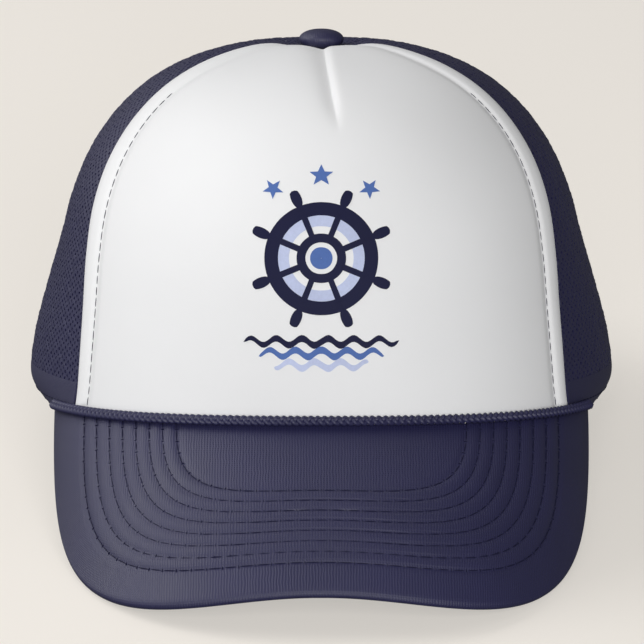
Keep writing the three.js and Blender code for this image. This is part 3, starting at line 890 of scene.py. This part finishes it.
def wave_shape(middle, half, thick, phase):
    """A wavy stroke with rounded ends, this far to each side of the middle."""
    along = np.linspace(-half, half, 60)
    crest = 1.0 * np.sin(along / 7.5 * 2 * math.pi + phase)
    end = np.sqrt(np.clip(1 - (along / half) ** 2, 0, 1)) ** 0.5
    across = np.linspace(-0.5, 0.5, 4)[:, None] * thick * end
    return np.stack([np.broadcast_to(along, across.shape), middle + crest + across], -1)


def emblem_shapes():
    """Flat grids in millimetres, by ink: a ship's wheel, three stars over it and three waves under it."""
    wheel = (0.0, 3.2)
    shapes = {"dark": [], "blue": [], "pale": []}
    shapes["dark"] += [ring_shape(12.6, 16.6, wheel), ring_shape(4.6, 7.2, wheel)]
    shapes["pale"] += [ring_shape(9.4, 12.6, wheel)]
    shapes["blue"] += [ring_shape(0.05, 3.2, wheel, 48)]
    for i in range(8):
        shapes["dark"].append(spoke_shape(i * math.pi / 4 + math.pi / 8, wheel, 5.2, 16.6, 21.6))
    for turn in (-0.6, 0, 0.6):
        centre = (wheel[0] - 25.0 * math.sin(turn), wheel[1] + 25.0 * math.cos(turn))
        shapes["blue"].append(star_shape(centre, 3.6 if turn == 0 else 3.2, turn))
    for i, ink in enumerate(("dark", "blue", "pale")):
        shapes[ink].append(wave_shape(-21.2 - 3.4 * i, 22.8 - 4.5 * i, 2.1, 0.5 * math.pi * i))
    return shapes


EMBLEM_HEIGHT = 51.8 * MM
INK_STAND = {"pale": 0.10 * MM, "blue": 0.13 * MM, "dark": 0.16 * MM}
INK_SUNK = 0.1 * MM                     # how far the prints reach into the cloth


def emblem(cap):
    patch = Patch(cap, lambda level: -cap.front_seam(level), cap.front_seam)
    base = np.interp(cap.level_at_height(EMBLEM_HEIGHT - cap.size.hem_arch), patch.levels, patch.along)
    for ink, shapes in emblem_shapes().items():
        parts = []
        for shape in shapes:
            around, level = patch.place(shape[..., 0] * MM, base + shape[..., 1] * MM)
            stand = front_relief(cap, around, level)
            face = cap.point(around, level, stand + INK_STAND[ink])
            parts.append(shell(face, cap.point(around, level, stand - INK_SUNK)))
        finish_piece(cap, f"emblem_{ink}", join(parts), f"ink_{ink}")


# Mesh panels

HOLE_SHARE = 0.45                       # width of a hole as a share of its cell's
NET_TURN = math.radians(30)
NET_THICKNESS = 0.75 * MM
NET_LUMPS = 0.22 * MM
NET_MARGIN = 0.6 * MM                   # a cell wholly within this of a seam is left out
HEM_WIDTH = 1.3 * MM                    # of the fold along each seam of a panel
HEM_SWELL = 0.18 * MM
ARCH_MARGIN = 3.2 * MM                  # how far out from the arch the cells start, under its binding


def hexagons(half_width, height, pitch):
    """Points and faces of a flat sheet of hexagons, with shared corners, turned to lie across the grain."""
    side = pitch / math.sqrt(3)
    c, s = math.cos(NET_TURN), math.sin(NET_TURN)
    reach = int(math.hypot(half_width, height) / (1.5 * side)) + 2
    corners, faces = {}, []
    for row in range(-reach, reach):
        for column in range(-reach, reach):
            x, y = (column + 0.5 * (row % 2)) * pitch, row * 1.5 * side
            if abs(x * c - y * s) > half_width + pitch or not -pitch < x * s + y * c < height + pitch:
                continue
            face = []
            for step in range(6):
                turn = step * math.pi / 3 + math.pi / 6
                corner = (x + side * math.cos(turn), y + side * math.sin(turn))
                key = (round(corner[0] / side * 4), round(corner[1] / side * 4))
                face.append(corners.setdefault(key, (len(corners), corner))[0])
            faces.append(face)
    flat = np.array([corner for _, corner in corners.values()])
    return flat @ np.array([[c, s], [-s, c]]), np.array(faces)


def net_panel(cap, side, name, front, back, node):
    """One panel of net with its hemmed edges. side is 1 on the right and -1 on the left."""
    patch = Patch(cap, front, back)
    half = patch.across[:, -1].max()
    flat, faces = hexagons(half, patch.along[-1], cap.size.net_pitch)
    limit = patch.half_width(flat[:, 1])
    outside = np.abs(flat[:, 0]) > limit - NET_MARGIN
    low = flat[:, 1] < 0
    around, level = patch.place(flat[:, 0], np.maximum(flat[:, 1], 0))
    inside_arch = np.zeros(len(flat), bool)
    if back == cap.centre_back:
        around, level, inside_arch = clear_arch(cap, around, level)
    dropped = (outside | inside_arch | low)[faces].all(axis=1)
    faces = faces[~dropped]
    used = np.unique(faces)
    renumber = np.full(len(flat), -1)
    renumber[used] = np.arange(len(used))
    across, along = flat[used].T / MM
    lumps = np.sin(across * 1.5 + np.sin(along * 0.7)) * np.sin(along * 1.2 + np.sin(across * 0.9))
    points = cap.point(around[used], level[used], NET_LUMPS * lumps)
    points = mirrored(points, side)
    base = new_mesh(f"{name}_cells", cap.rest(points), renumber[faces])
    if side > 0:
        base.flip_normals()
    yarn = cap_material("net_yarn")
    values = {"Open share": HOLE_SHARE, "Material": yarn}
    solid = ("SOLIDIFY", {"thickness": NET_THICKNESS, "offset": -1.0, "use_rim": True})
    net = grown(name, base, cached_tree("open_net", net_tree), values, [solid])
    hems = panel_hems(cap, side, front, back, patch)
    add_to_mesh(net, cap, hems)
    net.shade_smooth()
    net.set_sharp_from_angle(angle=math.radians(35))
    piece = place_piece(name, net, yarn, [node])


def net_panels(cap):
    for side, name in ((-1, "left"), (1, "right")):
        net_panel(cap, side, f"net_side_{name}", cap.front_seam, cap.back_seam, f"side_panel_{name}")
        net_panel(cap, side, f"net_back_{name}", cap.back_seam, cap.centre_back, f"back_panel_{name}")


def clear_arch(cap, around, level):
    """Moves places inside the arch onto a line just under its binding, and says which they were."""
    point = cap.bare(around, level)
    wide = cap.size.arch_width / 2 + ARCH_MARGIN
    high = cap.size.arch_height + ARCH_MARGIN
    height = cap.size.crown_height * cap.section(level, "rise")
    reach = np.hypot(point[:, 0] / wide, height / high)
    inside = (reach < 1) & (point[:, 1] > 0)
    scale = 1 / np.maximum(reach[inside], 1e-6)
    new_level = cap.level_at_height(height[inside] * scale)
    around, level = around.copy(), level.copy()
    around[inside] = cap.back_angle(np.abs(point[inside, 0]) * scale, new_level)
    level[inside] = new_level
    return around, level, inside


def mirrored(points, side):
    """The points themselves where side is 1, and on the cap's other side where it is -1."""
    return points * np.array([side, 1, 1])


def panel_hems(cap, side, front, back, patch):
    """Folded strips along the two seams of a mesh panel."""
    parts = []
    level = mix(0, cap.top_level, np.linspace(0, 1, 90) ** 1.2)[:, None]
    share = np.linspace(0, 1, 7)[None]
    puff = HEM_SWELL * np.sin(share * math.pi) ** 0.7
    room = patch.half_width(np.interp(level, patch.levels, patch.along))
    width = np.minimum(HEM_WIDTH, 0.8 * room)
    for seam, sign in ((front, 1), (back, -1)):
        start = cap.shifted(seam(level), level, sign * cap.size.seam_gap / 2)
        around = cap.shifted(start, level, sign * width * share)
        keep = np.ones(len(level), bool)
        if seam == cap.centre_back:
            keep = level[:, 0] > cap.level_at_height(cap.size.arch_height)
        around, rows = around[keep], np.broadcast_to(level, around.shape)[keep]
        outer = cap.point(around, rows, np.broadcast_to(0.05 * MM + puff, around.shape))
        inner = cap.point(around, rows, np.full_like(around, -cap.size.mesh_thickness))
        parts.append(shell(mirrored(outer, side), mirrored(inner, side)))
    return join(parts)


def add_to_mesh(mesh, cap, part):
    """Adds points and faces in the upright frame to a finished mesh."""
    work = bmesh.new()
    work.from_mesh(mesh)
    corners = [work.verts.new(point) for point in cap.rest(part[0])]
    for face in part[1]:
        work.faces.new([corners[i] for i in face])
    work.to_mesh(mesh)
    work.free()


# Bands, tapes, binding and strap

BAND_SWELL = 0.25 * MM
THREAD_STAND = 0.02 * MM                # of the middle of a band's thread over its cloth


def past_seam(cap, seam, distance):
    """The line this far round from a seam: its angle as a function of the level."""
    return lambda level: cap.shifted(seam(level), level, distance)


def upright(around):
    """The line that stays at one angle, as a function of the level."""
    return lambda level: np.full_like(level, around)


def band(cap, start, end, low, high, outside, thick, columns, rows=14, puff=BAND_SWELL, side=1):
    """A folded strip of the crown's wall between the lines start and end, with a soft swell."""
    share = np.linspace(0, 1, rows)[:, None]
    level = mix(low, high, share)
    around = mix(start(level), end(level), np.linspace(0, 1, columns)[None])
    swell = puff * np.clip(4 * share * (1 - share), 0, 1) ** 0.6
    outer = cap.point(around, level, np.broadcast_to(outside - puff + swell, around.shape))
    inner = cap.point(around, level, np.full_like(around, outside - thick))
    return shell(mirrored(outer, side), mirrored(inner, side))


def strip_places(part, rows, columns):
    """Flat places of the outer face of a strip, in millimetres, row by row."""
    return part[2][: rows * columns].reshape(rows, columns, 2)


HEM_STITCH_HEIGHT = 2.2 * MM


def hem_bands(cap):
    size = cap.size
    low, high = 0.0, float(cap.level_at_height(size.band_height))
    end = float(cap.back_angle(size.arch_width / 2 + size.binding_width + size.seam_gap, 0.0))
    start = past_seam(cap, cap.front_seam, size.seam_gap / 2)
    outside = size.seam_gap + size.band_thickness
    rows, columns = 14, 160
    level = cap.level_at_height(HEM_STITCH_HEIGHT)
    around = np.linspace(float(start(np.array(level))), end, 200)
    line = cap.point(around, np.full(200, level), np.full(200, outside + THREAD_STAND))
    lines = []
    for side, name in ((-1, "left"), (1, "right")):
        ends = (start, upright(end))
        part = band(cap, *ends, low, high, outside, size.band_thickness, columns, rows, side=side)
        piece = finish_piece(cap, f"hem_cloth_{name}", part, "band_cloth", [f"hem_band_{name}"])
        long = float(strip_places(part, rows, columns)[0, -1, 0] * 2 * MM)
        lines.append(mirrored(line, side))
    stitches(cap, "hem_stitches", lines, pitch=3.1 * MM, long=2.4 * MM, wide=0.45 * MM, seed=3)


def seam_tapes(cap):
    """The tapes inside the seams."""
    size = cap.size
    rows, columns = 90, 8
    reach = size.tape_width / 2
    front_stand = size.foam_proud - size.foam_thickness - size.seam_gap
    mesh_stand = -size.mesh_thickness - size.seam_gap
    top = float(cap.level_at_radius(size.tape_end))
    seams = [("front_left", -1, cap.front_seam, front_stand), ("front_right", 1, cap.front_seam, front_stand)]
    seams += [("back_left", -1, cap.back_seam, mesh_stand), ("back_right", 1, cap.back_seam, mesh_stand)]
    seams += [("centre", 1, cap.centre_back, mesh_stand)]
    for name, side, seam, stand in seams:
        low = size.arch_height + size.seam_gap if name == "centre" else size.sweat_lift
        low = float(cap.level_at_height(low))
        start, end = past_seam(cap, seam, -reach), past_seam(cap, seam, reach)
        part = band(cap, start, end, low, top, stand, size.tape_thickness, columns, rows, 0.0, side)
        piece = finish_piece(cap, f"tape_{name}", part, "tape_cloth", [f"seam_tape_{name}"])
        long = float(strip_places(part, rows, columns)[-1, 0, 1] * MM)


def strap_end(cap):
    """The angle at which the strap and the sweatband meet."""
    return float(cap.back_angle(cap.size.arch_width / 2 + cap.size.strap_overlap, 0.0))


def sweatband(cap):
    size = cap.size
    tape_stand = min(size.foam_proud - size.foam_thickness, -size.mesh_thickness) - size.seam_gap
    outside = tape_stand - size.tape_thickness - size.seam_gap
    end = float(cap.shifted(strap_end(cap), 0.0, -size.seam_gap))
    low, high = float(cap.level_at_height(size.sweat_lift)), float(cap.level_at_height(size.sweat_height))
    rows, columns = 24, 320
    ends = (upright(-end), upright(end))
    part = band(cap, *ends, low, high, outside, size.sweat_thickness, columns, rows, 0.0)
    piece = finish_piece(cap, "sweat_cloth", part, "tape_cloth", ["sweatband"])
    long = float(strip_places(part, rows, columns)[rows // 2, -1, 0] * 2 * MM)
    lines = []
    for height in (size.sweat_lift + 3 * MM, size.sweat_height - 3 * MM):
        level = float(cap.level_at_height(height))
        around = np.linspace(-end, end, 400)
        lines.append(cap.point(around, np.full(400, level), np.full(400, outside - size.sweat_thickness)))
    stitches(cap, "sweatband_stitches", lines, pitch=3.6 * MM, long=2.6 * MM, wide=0.45 * MM, seed=4)


def arch_points(cap, turn, out, stand):
    """Points round the arch: turn from one foot to the other, out from its edge."""
    side = (cap.size.arch_width / 2 + out) * np.cos(turn)
    height = np.maximum((cap.size.arch_height + out) * np.sin(turn), 0)
    level = cap.level_at_height(height)
    return cap.point(cap.back_angle(side, level), level, stand)


BINDING_STITCH_INSET = 1.4 * MM         # of both rows of stitches, from the binding's edges


def arch_binding(cap):
    size = cap.size
    rows, columns = 12, 141
    turn = np.linspace(0, math.pi, columns)[None]
    share = np.linspace(0, 1, rows)[:, None]
    turn, share = np.broadcast_arrays(turn, share)
    out = size.binding_width * share
    outside = size.seam_gap + size.binding_thickness
    swell = BAND_SWELL * np.clip(4 * share * (1 - share), 0, 1) ** 0.6
    outer = arch_points(cap, turn, out, outside - BAND_SWELL + swell)
    inner = arch_points(cap, turn, out, np.full_like(out, size.seam_gap))
    part = shell(outer, inner)
    piece = finish_piece(cap, "binding_cloth", part, "band_cloth", ["arch_binding"])
    long = float(strip_places(part, rows, columns)[rows // 2, -1, 0] * 2 * MM)
    turns = np.linspace(0.02, math.pi - 0.02, 200)
    lines = [
        arch_points(cap, turns, np.full(200, out_by), np.full(200, outside + THREAD_STAND))
        for out_by in (BINDING_STITCH_INSET, size.binding_width - BINDING_STITCH_INSET)
    ]
    stitches(cap, "binding_stitches", lines, pitch=3.1 * MM, long=2.4 * MM, wide=0.45 * MM, seed=5)


def bands(cap):
    hem_bands(cap)
    seam_tapes(cap)
    sweatband(cap)
    arch_binding(cap)


STRAP_EDGE = 0.7 * MM                   # how far in its edges are rounded
STRAP_ROUND = 0.45 * MM                 # and how deep
STRAP_RIM = (1.6 * MM, 2.4 * MM)        # between these insets the raised rim steps down to the strap's face
STRAP_STEP = 0.25 * MM


def back_strap(cap):
    size = cap.size
    end = strap_end(cap)
    outside = -size.mesh_thickness - size.seam_gap
    low = float(cap.level_at_height(size.strap_lift))
    high = float(cap.level_at_height(size.strap_lift + size.strap_height))
    rows, columns = 18, 120
    share = np.linspace(0, 1, rows)[:, None]
    around = mix(end, 2 * math.pi - end, np.linspace(0, 1, columns)[None])
    around, level = np.broadcast_arrays(around, mix(low, high, share))
    inset = np.minimum(share, 1 - share) * size.strap_height
    edge = np.clip(inset / STRAP_EDGE, 0, 1)
    round_off = STRAP_ROUND * (1 - np.sqrt(1 - (1 - edge) ** 2)) + 0 * around
    outer = cap.point(around, level, outside - round_off - STRAP_STEP * smooth(inset, *STRAP_RIM))
    inner = cap.point(around, level, outside - size.strap_thickness + round_off)
    finish_piece(cap, "strap_band", shell(outer, inner), "strap_finish", ["back_strap"])


# Brim

ROWS = 8
ROW_SIDE = (71.5 * MM, 43.0 * MM)       # where the outermost and the innermost row meet the brim's root
ROW_REACH = (52.8 * MM, 26.8 * MM)      # how far out those rows are at the middle, along the slope
ROW_SHAPE = (2.8, 0.97)                 # squareness and taper of the rows
ROWS_BEYOND = 3.5                       # how far past the first and the last row places are still numbered
SEWN_DEPTH = 0.3 * MM                   # of the rows' seams under the brim's face
PUFF = 0.6 * MM                         # swell of the cloth between two rows, over their seams
CALM_RISE = 0.05 * MM                   # of the cloth beyond the rows over the brim's face
UNDER_SHARE = 0.6                       # how much of that relief shows on the underside
STITCH_PITCH = 4.7 * MM
STITCH_STAND = (0.2 * MM, 0.1 * MM)     # of the thread's middle over the cloth, on top and underneath
NEEDLE_SHADE_DEPTH = 0.3 * MM                 # of the middle of the dark marks at the needle holes, under the cloth; the marks are painted shade of the puckers there
BRIM_GRID = {"quick": (260, 95), "full": (300, 112)}
BRIM_EDGE = 2.4 * MM                    # how far in from its rim the brim grows thin
EDGE_STEPS = 11                         # how many of its rows go round that edge
EDGE_SQUARENESS = 2.4


def row_ends(cap, row):
    """Where a row meets the brim's root and how far ahead it reaches. row may lie between two rows."""
    share = np.asarray(row, float) / (ROWS - 1)
    return mix(*ROW_SIDE, share), mix(*ROW_REACH, share) * math.cos(cap.size.brim_droop)


def row_number(cap, x, forward):
    """Which row, as a number that also runs between rows, passes through a place on the brim."""
    low = np.full(x.shape, -ROWS_BEYOND)
    high = np.full(x.shape, ROWS - 1 + ROWS_BEYOND)
    power = ROW_SHAPE[0] / 2
    for _ in range(22):
        middle = (low + high) / 2
        side, reach = row_ends(cap, middle)
        sine = np.clip(np.abs(x) / side, 0, 1) ** power
        for _ in range(3):
            taper = mix(1, ROW_SHAPE[1], np.sqrt(1 - sine**2))
            sine = np.clip(np.abs(x) / (side * taper), 0, 1) ** power
        cosine = np.sqrt(1 - sine**2)
        limit = mix(cap.root(side)[0], cap.root_length + reach, cosine ** (1 / power))
        inside = (forward < limit) & (np.abs(x) < side)
        low = np.where(inside, middle, low)
        high = np.where(inside, high, middle)
    return (low + high) / 2


def brim_relief(cap, x, forward):
    """How far the brim's cloth swells out between its stitched rows."""
    row = row_number(cap, x, forward)
    between = np.abs(np.sin(np.clip(row, 0, ROWS - 1) * math.pi))
    channel = PUFF * between**0.6 - SEWN_DEPTH
    outside = np.clip(-row, 0, None)
    within = np.clip(row - (ROWS - 1), 0, None)
    away = np.maximum(outside, within)
    calm = mix(-SEWN_DEPTH, CALM_RISE, smooth(away, 0, 0.5))
    return np.where(away > 0, calm, channel)


def brim(cap):
    """The brim. Its columns stand a little closer at the tips, and its last rows go round its edge.

    The underside is drawn in where the rows are sewn, and at its fullest it keeps to the plain thickness.
    """
    size = cap.size
    columns, rows = BRIM_GRID["full"]
    s = np.linspace(0, 1, columns)[None]
    s = mix(s, 0.5 - 0.5 * np.cos(s * math.pi), 0.3)
    edge = BRIM_EDGE / size.brim_length
    turn = np.linspace(0, math.pi / 2, EDGE_STEPS + 1)[1:]
    t = np.concatenate([np.linspace(0, 1 - edge, rows - EDGE_STEPS), 1 - edge + edge * np.sin(turn)])[:, None]
    x, forward = cap.brim_plan(s + 0 * t, t + 0 * s)
    closing = np.clip((t - (1 - edge)) / edge, 0, 1)
    fullness = np.clip(1 - closing**EDGE_SQUARENESS, 0, 1) ** (1 / EDGE_SQUARENESS)
    relief = brim_relief(cap, x, forward) * fullness
    half = size.brim_thickness / 2
    outer = cap.brim_point(x, forward, half - half * fullness - relief)
    hollow = UNDER_SHARE * (relief - PUFF + SEWN_DEPTH) * fullness
    inner = cap.brim_point(x, forward, half + half * fullness + hollow)
    part = shell(outer, inner)
    piece = finish_piece(cap, "brim_cloth", part, "brim_twill", ["brim"], sharp=60)
    brim_stitches(cap)


def brim_stitches(cap):
    """Stitches along the rows on both faces, and between those on top a thin dark mark across the row at each
    hole of the needle, painted shade of the pucker there.
    """
    pitch = STITCH_PITCH
    turn = np.linspace(-1, 1, 400) * math.radians(89.9)
    upper, lower, needle_shade_lines = [], [], []
    for row in range(ROWS):
        x, forward = cap.edge_curve(turn, *row_ends(cap, row), ROW_SHAPE)
        relief = brim_relief(cap, x, forward)
        upper.append(cap.brim_point(x, forward, -relief - STITCH_STAND[0]))
        needle_shade_lines.append(between_stitches(cap.brim_point(x, forward, NEEDLE_SHADE_DEPTH - relief), pitch))
        under = cap.size.brim_thickness + UNDER_SHARE * relief
        lower.append(cap.brim_point(x, forward, under + STITCH_STAND[1]))
    stitches(cap, "brim_stitches", upper, pitch, long=3.9 * MM, wide=0.32 * MM, seed=7)
    stitches(cap, "brim_stitches_under", lower, pitch, long=3.6 * MM, wide=0.4 * MM, seed=8)
    # Dark marks in the thread's colour across the rows at the needle holes: painted shade of the puckers
    # there
    stitches(cap, "brim_needle_holes", needle_shade_lines, pitch, long=0.26 * MM, wide=1.6 * MM, seed=9)


def distances(line):
    """How far along a line each of its points is."""
    return np.concatenate([[0], np.cumsum(np.linalg.norm(np.diff(line, axis=0), axis=1))])


def interpolated(values, gone, along):
    """Rows of values that are known at the distances gone, at the distances along."""
    return np.stack([np.interp(along, gone, column) for column in values.T], 1)


def between_stitches(line, pitch):
    """The stretch of a line whose stitches fall half way between those of the whole line."""
    gone = distances(line)
    step = gone[-1] / math.floor(gone[-1] / pitch)
    return interpolated(line, gone, np.linspace(step / 2, gone[-1] - step / 2, len(line)))


# Braid

BRAID_PERIOD = 6.0 * MM
BRAID_STEPS = 16                        # points to each period
STRANDS = 3
STRAND_RADIUS = (0.3, 0.26)             # across and through the braid, as shares of its thickness
STRAND_SWING = (0.25, 0.13)             # of a strand's middle to each side and in and out, also as shares
BRAID_OUT = (0.75, 0.65)                # the braid faces this much away from the wall and this much up
TUCK_LENGTH = 7 * MM                    # over which each end sinks in against the hem and grows thin
TUCK_DEPTH = 2.4 * MM
TUCK_SHARE = 0.55


def braid_path(cap, count):
    """Middle line of the braid and the outward direction of the wall behind it."""
    size = cap.size
    radius = size.braid_diameter / 2
    stand = size.foam_proud + size.seam_gap + radius
    lift = (radius + size.seam_gap - radius * math.sin(size.brim_droop)) / math.cos(size.brim_droop)
    around = np.linspace(-1, 1, count) * (cap.tip_angle + math.radians(1.5))
    level = np.full(count, cap.level_at_height(lift + radius))
    wall = np.maximum(np.abs(cap.bare(around, level)[:, 0]), np.abs(cap.bare(around, 0.0)[:, 0]))
    path = cap.point(around, np.zeros(count), np.full(count, stand))
    path[:, 0] += np.sign(around) * (wall - np.abs(cap.bare(around, 0.0)[:, 0]))
    path[:, 2] = cap.hem_rise(around) + lift
    return path, cap.normal(around, np.zeros(count))


def braid(cap):
    path, out = braid_path(cap, 400)
    gone = distances(path)
    even = np.linspace(0, gone[-1], int(gone[-1] / BRAID_PERIOD * BRAID_STEPS))
    path, out = interpolated(path, gone, even), interpolated(out, gone, even)
    along = distances(path)
    free = smooth(np.minimum(along, along[-1] - along), 0, TUCK_LENGTH)
    path = path - out * (TUCK_DEPTH * (1 - free))[:, None]
    ahead = np.gradient(path, axis=0)
    ahead /= np.linalg.norm(ahead, axis=1, keepdims=True)
    out = out * BRAID_OUT[0] + np.array([0, 0, BRAID_OUT[1]])
    out -= ahead * np.einsum("ij,ij->i", out, ahead)[:, None]
    out /= np.linalg.norm(out, axis=1, keepdims=True)
    wide = np.cross(ahead, out)
    fat = cap.size.braid_diameter * mix(TUCK_SHARE, 1, free)
    parts = []
    for strand in range(STRANDS):
        phase = along / BRAID_PERIOD * 2 * math.pi + strand * 2 * math.pi / STRANDS
        line = path + wide * (STRAND_SWING[0] * fat * np.sin(phase))[:, None]
        line = line + out * (STRAND_SWING[1] * fat * np.sin(2 * phase))[:, None]
        parts.append(tube(line, wide, out, [share * fat for share in STRAND_RADIUS]))
    finish_piece(cap, "braid_strands", join(parts), "braid_yarn", ["brim_braid"], sharp=80)


# Button

def button(cap):
    """The button, turned about its middle, with faint pleats gathered under its rim."""
    size = cap.size
    radius, rise, stem = size.button_diameter / 2, size.button_thickness / 2, size.stem_diameter / 2
    turn = np.linspace(-math.acos(stem / radius), math.pi / 2, 40)[:-1]
    swell = np.stack([radius * np.cos(turn) ** 0.9, rise * np.sin(turn)], 1)
    shank = [(0, -size.stem_length), (stem, -size.stem_length), (stem, swell[0, 1])]
    profile = np.concatenate([shank, swell, [(0, rise)]])
    count, steps = len(profile), 96
    around = np.linspace(0, 2 * math.pi, steps, endpoint=False)
    low = smooth(-profile[:, 1] / rise, -0.1, 0.6) * smooth(profile[:, 0] / radius, 0.5, 0.9)
    out = profile[:, :1] * (1 - 0.02 * low[:, None] * np.cos(around * 16))
    height = np.broadcast_to(profile[:, 1:] + cap.button_middle, (count, steps))
    grid = np.stack([out * np.cos(around), out * np.sin(around), height], -1)
    points = np.concatenate([grid[1:-1].reshape(-1, 3), grid[0, :1], grid[-1, :1]])
    ids = np.arange((count - 2) * steps).reshape(count - 2, steps)
    beside = np.roll(ids, -1, axis=1)
    faces = np.stack([ids[:-1], beside[:-1], beside[1:], ids[1:]], -1).reshape(-1, 4).tolist()
    foot, top = len(points) - 2, len(points) - 1
    faces += [[int(b), int(a), foot] for a, b in zip(ids[0], beside[0])]
    faces += [[int(a), int(b), top] for a, b in zip(ids[-1], beside[-1])]
    part = (points, faces, points[:, :2] / MM)
    finish_piece(cap, "button_cover", part, "button_weave", ["top_button"])


# Stage

# Place, width and power of each soft light
LIGHTS = {
    "top": ((0.0, 0.1, 1.8), 1.2, 1.8),
    "back_left": ((-1.2, 0.8, 1.3), 1.2, 9.0),
    "side_left": ((-1.6, 0.3, 1.0), 1.2, 17.0),
    "left_low": ((-1.7, -0.9, 0.25), 0.9, 1.8),
    "low_front": ((-0.3, -1.9, 0.2), 1.0, 3.3),
    "front": ((0.2, -2.0, 0.8), 1.0, 31.0),
}
LIT_POINT = (0, 0, 0.05)                # what the lights are turned to
WORLD_STRENGTH = 0.148
FLOOR_REACH = 6.0
CAMERA = {"aim": (0.0002, 0.0015, 0.0488), "distance": 1.5, "elevation": 19.6, "frame": 198.8 * MM}


def stage(shades):
    """A plain floor, soft lights and a camera. The floor throws no light of its own on the cap."""
    corners = np.array([(-1, -1, 0), (1, -1, 0), (1, 1, 0), (-1, 1, 0)]) * FLOOR_REACH
    mesh = new_mesh("floor", corners, [[0, 1, 2, 3]])
    floor = bpy.data.objects.new("floor", mesh)
    bpy.context.scene.collection.objects.link(floor)
    material, board = start_material("floor_paper")
    paper = tinted(board, tuple(shades.floor), 0.015, noise(board, object_coordinates(board), 6.0))
    glow = (*shades.floor_glow, 1)
    end_material(board, paper, 0.9, Specular_IOR_Level=0.1, Emission_Color=glow, Emission_Strength=1.0)
    mesh.materials.append(material)
    floor.visible_diffuse = False
    floor.visible_glossy = False
    world = bpy.data.worlds.new("studio")
    world.use_nodes = True
    sky = world.node_tree.nodes["Background"].inputs
    sky["Color"].default_value = (1, 1, 1, 1)
    sky["Strength"].default_value = WORLD_STRENGTH
    bpy.context.scene.world = world
    bpy.context.scene.view_settings.view_transform = "Standard"
    for name, (place, width, power) in LIGHTS.items():
        soft_light(name, place, width, power)
    add_camera()


def soft_light(name, place, width, power):
    data = bpy.data.lights.new(name, "AREA")
    data.shape = "SQUARE"
    data.size = width
    data.energy = power
    light = bpy.data.objects.new(name, data)
    light.location = place
    light.rotation_euler = (Vector(LIT_POINT) - Vector(place)).to_track_quat("-Z", "Y").to_euler()
    bpy.context.scene.collection.objects.link(light)


def add_camera():
    data = bpy.data.cameras.new("camera")
    data.sensor_width = 36.0
    data.lens = data.sensor_width * CAMERA["distance"] / CAMERA["frame"]
    data.clip_start = 0.05
    camera = bpy.data.objects.new("camera", data)
    rise = math.radians(CAMERA["elevation"])
    back = Vector((0, -math.cos(rise), math.sin(rise)))
    camera.location = Vector(CAMERA["aim"]) + back * CAMERA["distance"]
    camera.rotation_euler = (math.pi / 2 - rise, 0, 0)
    bpy.context.scene.collection.objects.link(camera)
    bpy.context.scene.camera = camera


# Operators

class MakeStage(bpy.types.Operator):
    """Add the floor, the lights and the camera"""

    bl_idname = "cap.stage"
    bl_label = "Stage"

    def execute(self, context):
        stage(context.scene.cap_colours)
        return {"FINISHED"}


class PieceStep:
    """What the operators that make pieces have in common. Each one's make function takes the cap."""

    def execute(self, context):
        self.make(Cap(context.scene.cap_sizes))
        return {"FINISHED"}


class MakeFront(PieceStep, bpy.types.Operator):
    """Make the padded front with its dart and top-stitching"""

    bl_idname = "cap.front"
    bl_label = "Front panel"
    make = staticmethod(front_panel)


class MakeEmblem(PieceStep, bpy.types.Operator):
    """Print the emblem on the front"""

    bl_idname = "cap.emblem"
    bl_label = "Emblem"
    make = staticmethod(emblem)


class MakeNet(PieceStep, bpy.types.Operator):
    """Make the four mesh panels"""

    bl_idname = "cap.net"
    bl_label = "Mesh panels"
    make = staticmethod(net_panels)


class MakeBands(PieceStep, bpy.types.Operator):
    """Make the hem bands, seam tapes, sweatband and arch binding"""

    bl_idname = "cap.bands"
    bl_label = "Bands and tapes"
    make = staticmethod(bands)


class MakeStrap(PieceStep, bpy.types.Operator):
    """Make the strap across the arch"""

    bl_idname = "cap.strap"
    bl_label = "Strap"
    make = staticmethod(back_strap)


class MakeBrim(PieceStep, bpy.types.Operator):
    """Make the brim with its stitched rows"""

    bl_idname = "cap.brim"
    bl_label = "Brim"
    make = staticmethod(brim)


class MakeBraid(PieceStep, bpy.types.Operator):
    """Plait the braid along the brim's seam"""

    bl_idname = "cap.braid"
    bl_label = "Braid"
    make = staticmethod(braid)


class MakeButton(PieceStep, bpy.types.Operator):
    """Make the covered button"""

    bl_idname = "cap.button"
    bl_label = "Button"
    make = staticmethod(button)


STEPS = (MakeStage, MakeFront, MakeEmblem, MakeNet, MakeBands, MakeStrap, MakeBrim, MakeBraid, MakeButton)


class CapPanel(bpy.types.Panel):
    """The cap's pieces, sizes and colours"""

    bl_idname = "VIEW3D_PT_cap"
    bl_label = "Cap"
    bl_space_type = "VIEW_3D"
    bl_region_type = "UI"
    bl_category = "Cap"

    def draw(self, context):
        for step in STEPS:
            self.layout.operator(step.bl_idname)
        for group in (context.scene.cap_sizes, context.scene.cap_colours):
            column = self.layout.column()
            for name in group.bl_rna.properties.keys():
                if name not in ("rna_type", "name"):
                    column.prop(group, name)


CLASSES = (CapSizes, CapColours, *STEPS, CapPanel)


def register():
    for each in CLASSES:
        bpy.utils.register_class(each)
    bpy.types.Scene.cap_sizes = bpy.props.PointerProperty(type=CapSizes)
    bpy.types.Scene.cap_colours = bpy.props.PointerProperty(type=CapColours)


def unregister():
    del bpy.types.Scene.cap_colours
    del bpy.types.Scene.cap_sizes
    for each in reversed(CLASSES):
        bpy.utils.unregister_class(each)


def main():
    register()
    for step in STEPS:
        group, name = step.bl_idname.split(".")
        getattr(getattr(bpy.ops, group), name)()


if __name__ == "__main__":
    main()
